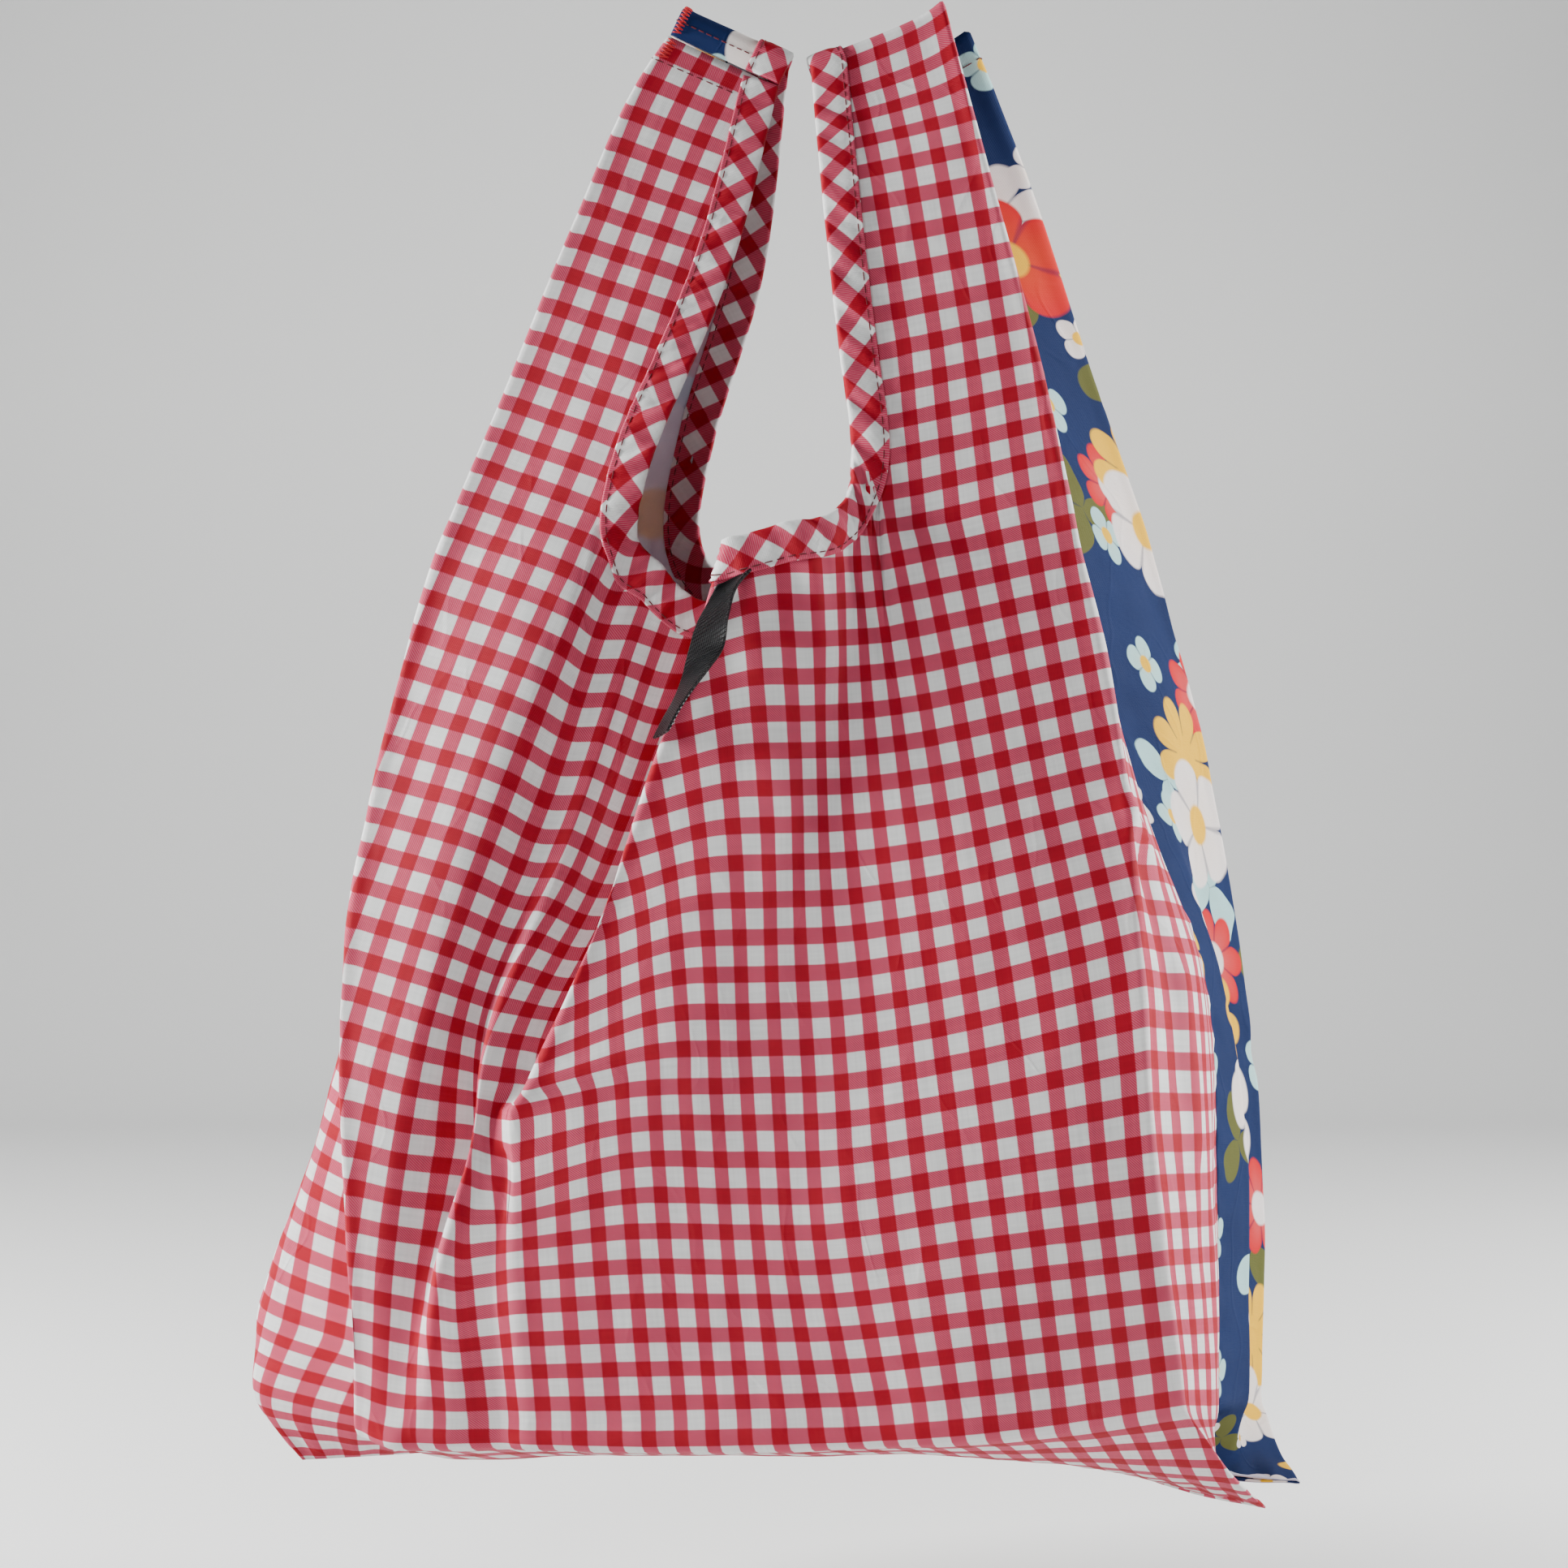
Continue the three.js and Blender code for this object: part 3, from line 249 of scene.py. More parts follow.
# Stitch rows of the handle seams, down from a panel's end, and the bartack down the left
# handle's outer edge: [panel, u, v at its start and end]
UNDER_INSET = 7.6
OVER_INSET = 4.6
BARTACK = [["back", -139.7, 411.0, 425.0], ["front", -131.7, 407.5, 401.5]]
BARTACK_STEP = 0.55             # from bar to bar
BARTACK_HALF = 1.6              # half a bar's length
BARTACK_SLANT = 0.45            # how far a bar's ends lie off its middle

# Bottom seam, from one side crease to the other: [u, x, y, z] of the middle between the
# layers. Past a crease the cloth is folded in and comes back along the same seam.
BOTTOM_SEAMS = {
    "front": [[-159, -146, -0.5, -415], [-110, -106, -1, -412.5], [-40, -45, -2, -409],
              [60, 42, -5, -409.5], [110, 86, -7, -417], [140, 111, -8.5, -424],
              [159, 127, -9.5, -426.4]],
    "back": [[-159, -144, -0.5, -415], [-110, -106, -1, -412.5], [-40, -45, -2, -409],
             [60, 42, -5, -409.5], [110, 88, -6, -416], [140, 119, -6, -420.5],
             [159, 138, -6, -421]],
}
FOLDED_BACK = 0.87              # length of seam that a length of folded-in cloth takes
OUTER_LAYER = 1.7               # middle of the outer layer to the seam's middle
INNER_LAYER = 0.5               # the same for the folded-in cloth, and where there is none
FOLDED_IN_TO = 113.0            # where the folded-in cloth ends, as u of the outer layer
BOTTOM_SAG = 3.0
BOTTOM_CREASE = 10.0            # how tight the cloth turns under
SEAM_CLOSE = 0.4                # share of the solids' gap that stays open at the side seams
GUIDES_AT_SEAM = {
    "front": dict(leftSeam=-212, leftBulge=-159, leftDip=-128, leftFold=-100, rightFold=159,
                  rightPuff=180, rightSeam=212),
    "back": dict(leftSeam=-212, leftTuck=-185, leftFold=-159, rightFold=159, rightDip=172,
                 rightRidge=186, rightSeam=212),
}
CHUNK = 6000                    # places worked out at a time

GUIDES = {"front": FRONT_GUIDES, "back": BACK_GUIDES}
CREASE_SHARE = 0.45             # most of the way to its neighbour that a crease takes
CREASE_SIDES = ((-1, "Before"), (0, ""), (1, "After"))

# Wrinkles: heights in millimetres, and how far they reach
PHASE = {"front": 0.0, "back": 2.1}
WAVE_HIGH, FINE_HIGH = 0.5, 0.1
MOUTH_PUCKER, SIDE_PUCKER, LOW_PUCKER = 0.45, 0.45, 0.4
MOUTH_PUCKER_REACH, SIDE_PUCKER_REACH, LOW_PUCKER_REACH = 16, 9, 16
OUTWARD_ONLY = 8.8              # high up, wrinkles keep clear of the layer behind them
LEAST_HEIGHT = -9.0
PLACE_STEP = 0.8                # step over which a slope of the wrinkled cloth is taken

# Mesh of a panel
LOW_ROWS_TO = 28.0              # the rows are level up to here and fan out above it
TOP_PASSES, TOP_PULL = 30, 0.6  # rounds in which a column's top settles on the cut
COUNTED_AT = [30.0, MOUTH_TOP_V]        # heights that give the number of columns
ROWS_AT_ONCE = 20

# Bindings and stitches
CUT_STEPS = 300                 # points of the cut on each handle
CORNER_STEPS = 2001             # and round the mouth's corners
SPARE_MOST = 1.6                # most cloth under one millimetre of binding
SPARE_PASSES = 12               # rounds in which it is evened out
BINDING_LIFT = 0.12             # of its faces above their place in the section
BINDING_LOW, BINDING_HIGH = 0.55, 1.5       # its layers above the cloth, in walls
FURROW_DEPTH, FURROW_REACH = 0.28, 1.1      # the furrow that its stitches pull
SWELL_AT, SWELL_REACH = 4.5, 3.5            # its puckered band, from the cut edge
SEWING_STEP = 1.0               # step along the cut at which stitches are laid out
STITCH_SHARE = 0.8              # part of its pitch that a stitch shows
STITCH_STEPS = 7
STITCH_DIP, BARTACK_DIP = 0.22, 0.25        # how far its ends dip into the cloth
THREAD_SIDES = 6
SEAM_LIFT = 0.3                 # of the handle seams' threads above the cloth
HANDLE_SEAM_U = (107, 157)      # ends of the handle seams
HANDLE_SEAM_STEPS = 80
BARTACK_RADIUS = 0.24
TAPE_ROWS, TAPE_COLUMNS = 70, 19
TAPE_CURL = 0.5                 # how far the tape's edges stand out, by turns
TAPE_CURL_REACH = 9.0

# Looks of the cloth: pitches in checks, bump depths in metres, light let through
WALE, TWILL, TAPE_RIB, TAPE_YARN = 0.05, 0.07, 0.12, 0.06
WEAVE_DEPTH, CRUMPLE_DEPTH, TWIST_DEPTH, RIB_DEPTH = 0.00012, 0.0009, 0.00006, 0.0003
LIGHT_THROUGH = 0.3
CHECKS_UP = 100                 # whole checks added, so that no part of a check is negative

# Print layers, lowest first: [kind, shift, cell, jitter, radius, petals, notch, roundness,
# core, share of the first colour]. Sizes are in checks, the radius in cells.
PRINT_LAYERS = [
    ["leaf", (3.7, 8.1), 5.1, 0.7, 0.34, 3, 0.8, 1.5, 0.0, 0.6],
    ["small", (5.3, 2.9), 3.7, 0.6, 0.22, 4, 0.45, 0.7, 0.3, 0.5],
    ["medium", (7.7, 3.2), 7.1, 0.5, 0.21, 7, 0.42, 0.55, 0.34, 0.6],
    ["daisy", (1.9, 6.4), 7.9, 0.5, 0.25, 8, 0.5, 0.45, 0.36, 0.65],
    ["large", (2.4, 9.5), 8.3, 0.45, 0.26, 5, 0.34, 0.5, 0.3, 0.55],
]
# Colours of each kind: the petals' first and second, and the middle
PRINT_COLOURS = {
    "leaf": ("olive", "aqua", "olive"),
    "small": ("aqua", "warm_white", "yellow"),
    "daisy": ("warm_white", "yellow", "yellow"),
    "medium": ("red", "yellow", "warm_white"),
    "large": ("red", "warm_white", "yellow"),
}

# Stage in metres: half the floor's width, its front edge, where it bends up, the bend's
# radius and its height. Lights: [side, place, aimed at, size].
FLOOR_HALF, FLOOR_FRONT, FLOOR_BACK, FLOOR_BEND, FLOOR_HIGH = 4.0, -3.0, 1.2, 0.6, 4.0
FLOOR_COLUMNS, BEND_ROWS = 9, 24
LIGHTS = [
    ["left", (-1.2, -0.1, 0.08), (0, 0, -0.24), 0.4],
    ["right", (1.15, 0.12, 0.15), (0, 0, -0.2), 0.4],
    ["front", (-0.95, -1.5, 0.75), (0, 0, -0.2), 0.6],
]
SKY, SKY_STRENGTH = (0.86, 0.9, 0.95, 1), 0.2
# Camera at the photograph's viewing angle
CAMERA_AT = (-0.009, -0.8, -0.222)
SENSOR, FOCAL_PIXELS, IMAGE_PIXELS = 36.0, 3440, 1932
NEAREST, FARTHEST = 0.05, 30


def table_at(table, at):
    """Rows of a table at values of its first column, straight between its rows."""
    rows = np.array(table, float)
    at = np.atleast_1d(at)
    return np.stack([np.interp(at, rows[:, 0], rows[:, c]) for c in range(rows.shape[1])], -1)


def unit(vectors):
    """Vectors at length 1."""
    return vectors / np.maximum(np.linalg.norm(vectors, axis=-1, keepdims=True), TINY)


def run_along(points):
    """Length run along a path up to each of its points."""
    return np.append(0, np.linalg.norm(np.diff(points, axis=0), axis=1).cumsum())


def slopes(knots, points):
    """Slope at each point of a curve: that of the parabola through it and its neighbours,
    (rise before x step after + rise after x step before) / both steps."""
    step = np.maximum(np.diff(knots, axis=-1), LEAST_STEP)[..., None]
    rise = np.diff(points, axis=-2) / step
    inner = ((rise[..., :-1, :] * step[..., 1:, :] + rise[..., 1:, :] * step[..., :-1, :])
             / (step[..., :-1, :] + step[..., 1:, :]))
    return np.concatenate([rise[..., :1, :], inner, rise[..., -1:, :]], axis=-2)


def cubic(p, q, slope_p, slope_q, step, f):
    """Cubic from p to q with the given end slopes, f from 0 to 1, straight beyond."""
    g = np.clip(f, 0, 1)
    g2, g3 = g * g, g * g * g
    inside = ((2 * g3 - 3 * g2 + 1) * p + (g3 - 2 * g2 + g) * step * slope_p
              + (3 * g2 - 2 * g3) * q + (g3 - g2) * step * slope_q)
    return (inside + np.minimum(f, 0) * step * slope_p
            + np.maximum(f - 1, 0) * step * slope_q)


def curve_at(knots, points, tangents, at):
    """A curve at values of its knots: the cubic of the step that each value lies in."""
    k = np.clip(np.searchsorted(knots, at, side="right") - 1, 0, len(knots) - 2)
    step = (knots[k + 1] - knots[k])[:, None]
    f = (at - knots[k])[:, None] / step
    return cubic(points[k], points[k + 1], tangents[k], tangents[k + 1], step, f)


def with_underside(side, front, guide, rows):
    """Rows of a guide down to the bottom seam, with a tight turn at the bottom fold."""
    u = GUIDES_AT_SEAM[side].get(guide["name"], rows[0][1])
    folded_in = max(abs(u) - EAR_U, 0)
    along = np.sign(u) * (min(abs(u), EAR_U) - FOLDED_BACK * folded_in)
    x, y, z = table_at(BOTTOM_SEAMS[side], along)[0, 1:]
    layer = INNER_LAYER if folded_in > 0 or abs(u) < FOLDED_IN_TO else OUTER_LAYER
    seam = np.array([SEAM_V, u, x, y + front * layer, z])
    half = (seam + rows[0]) / 2
    half[2] += guide.get("bulge", 0)
    half[4] -= BOTTOM_SAG
    under, above = (rows[0] + (other - rows[0]) * BOTTOM_CREASE / abs(other[0] - rows[0][0])
                    for other in (half, rows[1]))
    return np.array([seam, half, under, rows[0], above, *rows[1:]])


def prepare(side):
    """A panel's guides as arrays of knots v, points (u, x, y, z) and slopes. "front" is
    the panel's outward way along y."""
    front = -1 if side == "front" else 1
    panel = dict(side=side, front=front, guides={})
    for guide in GUIDES[side]:
        if "seam" in guide:
            rows = np.array([*SIDE_SEAMS[guide["seam"]], SEAM_TOPS[side][guide["seam"]]], float)
            rows[:, 3] += front * SEAM_CLOSE * rows[:, 5]
            rows = rows[:, :5]
        else:
            rows = np.array(guide["rows"], float)
        rows = with_underside(side, front, guide, rows)
        knots, points = rows[:, 0], rows[:, 1:]
        panel["guides"][guide["name"]] = dict(
            crease=guide.get("crease", 0), follows=guide.get("follows"),
            knots=knots, points=points, tangents=slopes(knots, points))
    return panel


PANELS = {side: prepare(side) for side in GUIDES}


def guide_at(panel, name, v):
    """Places (u, x, y, z) of a guide at heights v. Above the mouth's line a guide that
    follows an edge moves as that edge does."""
    guide = panel["guides"][name]
    edge = guide["follows"]
    own = curve_at(guide["knots"], guide["points"], guide["tangents"],
                   np.minimum(v, MOUTH_V) if edge else v)
    if edge:
        moved = (guide_at(panel, edge, np.maximum(v, MOUTH_V))
                 - guide_at(panel, edge, np.full(1, MOUTH_V)))
        own[:, 1:] += moved[:, 1:]
    return own


def hollow_of(lap, ridge, way, v):
    """The cloth between a fold's ridge and the layer under it turns back in a hollow. Its
    depth is the side of a triangle: half the cloth squared less half the gap squared."""
    cloth = np.abs(ridge[:, 0] - lap[:, 0]) / 2
    apart = np.linalg.norm(ridge[:, 1:] - lap[:, 1:], axis=1) / 2
    depth = np.sqrt(np.maximum(cloth**2 - apart**2, 0)) * np.clip(1 - v / SEAM_V, 0, 1)
    middle = (lap + ridge) / 2
    middle[:, 1:3] += way * HOLLOW_LEAN * depth[:, None]
    return middle


def course(panel, v):
    """Courses across a panel at heights v: their knots u, points and slopes. A crease gets
    a knot close on each side on the straight lines to its neighbours, so the cloth turns
    tightly there, and runs over it at nearly its full length."""
    line = []
    for name, guide in panel["guides"].items():
        at = guide_at(panel, name, v)
        if name == "smallFold":
            behind = at.copy()
            behind[:, 0] -= SMALL_HOLLOW_REACH
            behind[:, 1:3] += table_at(SMALL_HOLLOW, v)[:, 1:]
            line.append(("smallHollow", 0, behind))
        if name in BIG_HOLLOWS[panel["side"]]:
            hollow = hollow_of(line[-1][2], at, -panel["front"], v)
            line.append(("hollow", BIG_HOLLOWS[panel["side"]][name], hollow))
        line.append((name, guide["crease"], at))
    names, places, ridges = [], [], []
    for k, (name, crease, at) in enumerate(line):
        for step, suffix in (CREASE_SIDES if crease else ((0, ""),)):
            other = line[k + step][2]
            reach = np.maximum(np.abs(other[:, :1] - at[:, :1]), LEAST_STEP)
            part = np.minimum(crease, CREASE_SHARE * reach) / reach if step else 0
            if crease and not step:
                ridges.append(len(names))
            names.append(name + suffix)
            places.append(at + (other - at) * part)
    places = np.stack(places, 1)
    knots, points = places[..., 0], places[..., 1:]
    tangents = slopes(knots, points)
    ridges = np.array(ridges)
    across = points[:, ridges + 1] - points[:, ridges - 1]
    length = np.maximum(np.linalg.norm(across, axis=-1, keepdims=True), 1)
    tangents[:, ridges] = CREASE_STRETCH * across / length
    alone = np.clip((v - MOUTH_V) / MOUTH_RISE, 0, 1)[:, None]
    for name, step in (("leftEdge", -1), ("rightEdge", 1)):
        k = names.index(name)
        own = (points[:, k + step] - points[:, k]) / (knots[:, k + step] - knots[:, k])[:, None]
        tangents[:, k] += (own - tangents[:, k]) * alone
    return names, knots, points, tangents


def lie(panel, u, v):
    """Where the cloth (u, v) lies: the cubic of its course between the two knots beside u.
    A handle's top falls from its outer corner by 1 - exp(-distance / reach). Past the
    turn the cloth runs over a half round, (y cos a, y sin a up), then down."""
    u, v = np.broadcast_arrays(np.asarray(u, float), np.asarray(v, float))
    shape, u, v = u.shape, u.ravel(), v.ravel()
    turn_v, lean_x, lean_z, peak = np.where(u < 0, *(
        np.array([[handle["turn_v"], *handle["lean"], handle["peak"]]]).T
        for handle in (HANDLES["left"], HANDLES["right"])))
    at = np.empty((len(u), 3))
    for start in range(0, len(u), CHUNK):
        part = slice(start, start + CHUNK)
        _, knots, points, tangents = course(panel, np.minimum(v, turn_v)[part])
        k = np.clip((knots <= u[part, None]).sum(1) - 1, 0, knots.shape[1] - 2)
        row = np.arange(len(k))
        step = np.maximum(knots[row, k + 1] - knots[row, k], LEAST_STEP)[:, None]
        f = (u[part, None] - knots[row, k][:, None]) / step
        at[part] = cubic(points[row, k], points[row, k + 1], tangents[row, k],
                         tangents[row, k + 1], step, f)
    pull = peak * np.clip((v - turn_v + PEAK_FLAT) / PEAK_FADE + 1, 0, 1)
    at[:, 2] -= pull * (1 - np.exp(-np.abs(np.abs(u) - PEAK_U) / PEAK_REACH))
    past = np.maximum(v - turn_v, 0)
    angle = np.minimum(past / TURN_RADIUS, np.pi)
    up = np.abs(at[:, 1]) * np.sin(angle) - np.maximum(past - TURN_LENGTH, 0)
    at += np.stack([up * lean_x, at[:, 1] * (np.cos(angle) - 1), up * lean_z], -1)
    return at.reshape(*shape, 3)


def mouth_power(side, u):
    """Squareness of the mouth's round corners at u."""
    return np.where(u < 0, *MOUTH_POWER[side])


def mouth_distance(side, u, v):
    """Distance from the mouth's cut, and the place along it, both in millimetres: on the
    handles |u| less the half width, below the round corners from their rounded square."""
    down = np.maximum(MOUTH_TOP_V - v, 0) / MOUTH_RISE
    across, power = np.abs(u) / MOUTH_HALF, mouth_power(side, u)
    round_square = (across**power + down**power) ** (1 / power)
    away = (round_square - 1) * np.where(down > across, MOUTH_RISE, MOUTH_HALF)
    return away, u + np.sign(u) * np.maximum(v - MOUTH_V, 0)


def hump(at, middle, reach):
    """A smooth hump: 1 at the middle, falling as exp(-(distance / reach) squared)."""
    return np.exp(-(((at - middle) / reach) ** 2))


def ramp(at, start, length):
    """0 up to the start, rising evenly to 1 over the length."""
    return np.clip((at - start) / length, 0, 1)


def ripple(at, pitch, sway, sway_length, turn=0.0):
    """A sine of the given pitch, whose crests sway to and fro."""
    return np.sin(2 * np.pi * at / pitch + sway * np.sin(at / sway_length + turn))


def wrinkle(side, u, v):
    """How far the cloth stands out from its smooth shape: broad slow waves as products of
    two sines, puckers along the bindings, side seams and bottom seam, and pinch folds."""
    phase = PHASE[side]
    away, along = mouth_distance(side, u, v)
    broad = (np.sin(u / 19 + v / 31 + phase) * np.sin(v / 23 - u / 47 + 1.3)
             + 0.6 * np.sin(u / 11.5 - v / 17 + 2 * phase) * np.sin(v / 14.3 + u / 29))
    fine = (np.sin(u / 4.6 + 1.7 * np.sin(v / 13)) * np.sin(v / 6.1 + u / 9)
            + np.sin(u / 3.3 - v / 7.7 + phase) * np.sin(v / 9.4))
    at_mouth = ripple(along, 13.5, 1.4, 21, phase) + 0.5 * ripple(along, 6.3, 2, 13)
    at_mouth = at_mouth * np.exp(-np.maximum(away, 0) / MOUTH_PUCKER_REACH)
    seam_u = SIDE_SEAM_U - np.maximum(v - 120, 0) * 0.2
    at_side = ripple(v, 12, 1.5, 17, phase) * hump(np.abs(u), seam_u, SIDE_PUCKER_REACH)
    at_bottom = ripple(u, 11, 1.3, 19) * hump(v, SEAM_V, LOW_PUCKER_REACH)
    high = (WAVE_HIGH * broad + FINE_HIGH * fine + MOUTH_PUCKER * at_mouth
            + SIDE_PUCKER * at_side + LOW_PUCKER * at_bottom)
    for u0, v0, du, dv, width, height in PINCHES[side]:
        length = np.hypot(du, dv)
        t = ((u - u0) * du + (v - v0) * dv) / length
        s = ((u - u0) * dv - (v - v0) * du) / length
        fade = ramp(t, -4, 8) * np.clip((length - t) / (0.5 * length), 0, 1)
        high = high + height * fade * hump(s, 0, width * (1 + 0.01 * t))
    high_up = ramp(v, MOUTH_V - 10, 60)
    calm = 1 - 0.7 * ramp(v, MOUTH_TOP_V + 60, 30)
    calm = calm * (1 - ramp(np.abs(u), 108, 26) * high_up)
    edge = ramp(v, SEAM_V, 6) * (1 - ramp(np.abs(u), SIDE_SEAM_U - 4, 5))
    return np.maximum(high * edge * calm, OUTWARD_ONLY * high_up + LEAST_HEIGHT)


def quads_of(index):
    """Quads of a grid of point numbers."""
    return np.stack([index[:-1, :-1], index[:-1, 1:], index[1:, 1:], index[1:, :-1]],
                    -1).reshape(-1, 4)


def grid_of(points):
    """A grid of points as a list, with its quads."""
    return points.reshape(-1, 3), quads_of(np.arange(points[..., 0].size).reshape(points.shape[:2]))


def normals_of(points, quads):
    """Normals at points: the cross products of the diagonals of the quads around each."""
    a, b, c, d = (points[quads[:, k]] for k in range(4))
    face = np.cross(c - a, d - b)
    total = np.zeros_like(points)
    for k in range(4):
        np.add.at(total, quads[:, k], face)
    return unit(total)


def add_mesh(name, points, faces, uv, material, inside=None):
    """A smooth mesh object at the origin from points in millimetres, with a UV map in
    checks and, where given, a point attribute that is 1 on a cloth's wrong side."""
    mesh = bpy.data.meshes.new(name)
    mesh.vertices.add(len(points))
    mesh.vertices.foreach_set("co", (points * MM).astype(np.float32).ravel())
    mesh.loops.add(faces.size)
    mesh.loops.foreach_set("vertex_index", faces.ravel().astype(np.int32))
    mesh.polygons.add(len(faces))
    mesh.polygons.foreach_set("loop_start", np.arange(0, faces.size, 4, dtype=np.int32))
    mesh.update(calc_edges=True)
    mesh.validate()
    layer = mesh.uv_layers.new(name="cloth")
    layer.data.foreach_set("uv", uv[faces.ravel()].astype(np.float32).ravel())
    if inside is not None:
        mark = mesh.attributes.new("inside", "FLOAT", "POINT")
        mark.data.foreach_set("value", inside.astype(np.float32))
    mesh.shade_smooth()
    mesh.materials.append(material)
    piece = bpy.data.objects.new(name, mesh)
    bpy.context.scene.collection.objects.link(piece)
    return piece


def thick_sheet(points, quads, uv, thickness, outward):
    """A closed sheet: the net moved out and in by half its thickness, and a wall at each
    edge that only one quad has. Also 0 for each outer point and 1 for each inner one."""
    normals = normals_of(points, quads) * outward
    if outward < 0:
        quads = quads[:, ::-1]
    count = len(points)
    both = np.concatenate([points + normals * thickness / 2, points - normals * thickness / 2])
    sides = np.concatenate([quads[:, [k, (k + 1) % 4]] for k in range(4)])
    rim = sides[~np.isin(sides[:, 0] * count + sides[:, 1], sides[:, 1] * count + sides[:, 0])]
    walls = np.stack([rim[:, 1], rim[:, 0], rim[:, 0] + count, rim[:, 1] + count], -1)
    faces = np.concatenate([quads, quads[:, ::-1] + count, walls])
    return both, faces, np.concatenate([uv, uv]), np.repeat([0.0, 1.0], count)


def tubes(paths, normals, radius):
    """Closed tubes along many short paths at once: rings of radius r about each path in
    the plane of its normal and the cross product of its run and its normal, smaller at
    both ends."""
    count, steps, _ = paths.shape
    run = np.gradient(paths, axis=1)
    across = unit(np.cross(run, normals))
    angle = np.arange(THREAD_SIDES) * 2 * np.pi / THREAD_SIDES
    f = np.linspace(-1, 1, steps)
    ring = (radius * np.sqrt(np.maximum(1 - f**6, 0.04)))[None, :, None, None]
    points = (paths[:, :, None] + ring * (np.cos(angle)[:, None] * normals[:, :, None]
                                          + np.sin(angle)[:, None] * across[:, :, None]))
    index = np.arange(count * steps * THREAD_SIDES).reshape(count, steps, THREAD_SIDES)
    after = np.roll(index, -1, axis=2)
    walls = np.stack([index[:, :-1], index[:, 1:], after[:, 1:], after[:, :-1]], -1)
    caps = []
    for end, order in ((index[:, 0], (0, 1, 2, 3)), (index[:, -1], (3, 2, 1, 0))):
        for k in range(THREAD_SIDES // 2 - 1):
            quad = end[:, [k, k + 1, THREAD_SIDES - 2 - k, THREAD_SIDES - 1 - k]]
            caps.append(quad[:, list(order)])
    length = np.linalg.norm(run, axis=2).cumsum(1)[:, :, None]
    uv = np.stack(np.broadcast_arrays(length / CHECK, angle / (2 * np.pi)), -1)
    return points.reshape(-1, 3), np.concatenate([walls.reshape(-1, 4), *caps]), uv.reshape(-1, 2)


def place(panel, u, v):
    """Places on a panel's wrinkled cloth and the outward normals there: the cross product
    of its slopes along u and v, taken over a short step each way."""
    along_u = lie(panel, u + PLACE_STEP, v) - lie(panel, u - PLACE_STEP, v)
    along_v = lie(panel, u, v + PLACE_STEP) - lie(panel, u, v - PLACE_STEP)
    normals = unit(-panel["front"] * np.cross(along_u, along_v))
    return lie(panel, u, v) + normals * wrinkle(panel["side"], u, v)[..., None], normals


def cut_line(side, u, half, outside):
    """The mouth's cut, or a line that far outside it: v of a rounded square at u."""
    power = mouth_power(side, u)
    across = np.minimum(np.abs(u) / half, 1) ** power
    return MOUTH_TOP_V - (MOUTH_RISE + outside) * (1 - across) ** (1 / power)


def panel_end(panel, name):
    """Highest v of a panel on a handle."""
    handle = HANDLES[name]
    if handle["over"] != panel["side"]:
        return handle["end_v"]
    return handle["turn_v"] + TURN_LENGTH + handle["drop"] - SEAM_GAP


def evenly(start, end, step):
    """Values from start to end, about that step apart."""
    return np.linspace(start, end, max(int((end - start) / step), 2))


def handle_rows(panel, name, step):
    """Courses of a handle above the mouth's corners, close together in the turn."""
    handle, end = HANDLES[name], panel_end(panel, name)
    if handle["over"] != panel["side"]:
        return evenly(MOUTH_TOP_V, end, step)
    turn = handle["turn_v"] + np.linspace(0, TURN_LENGTH, TURN_ROWS)[1:]
    return np.concatenate([evenly(MOUTH_TOP_V, handle["turn_v"], step), turn,
                           evenly(turn[-1], end, step)[1:]])


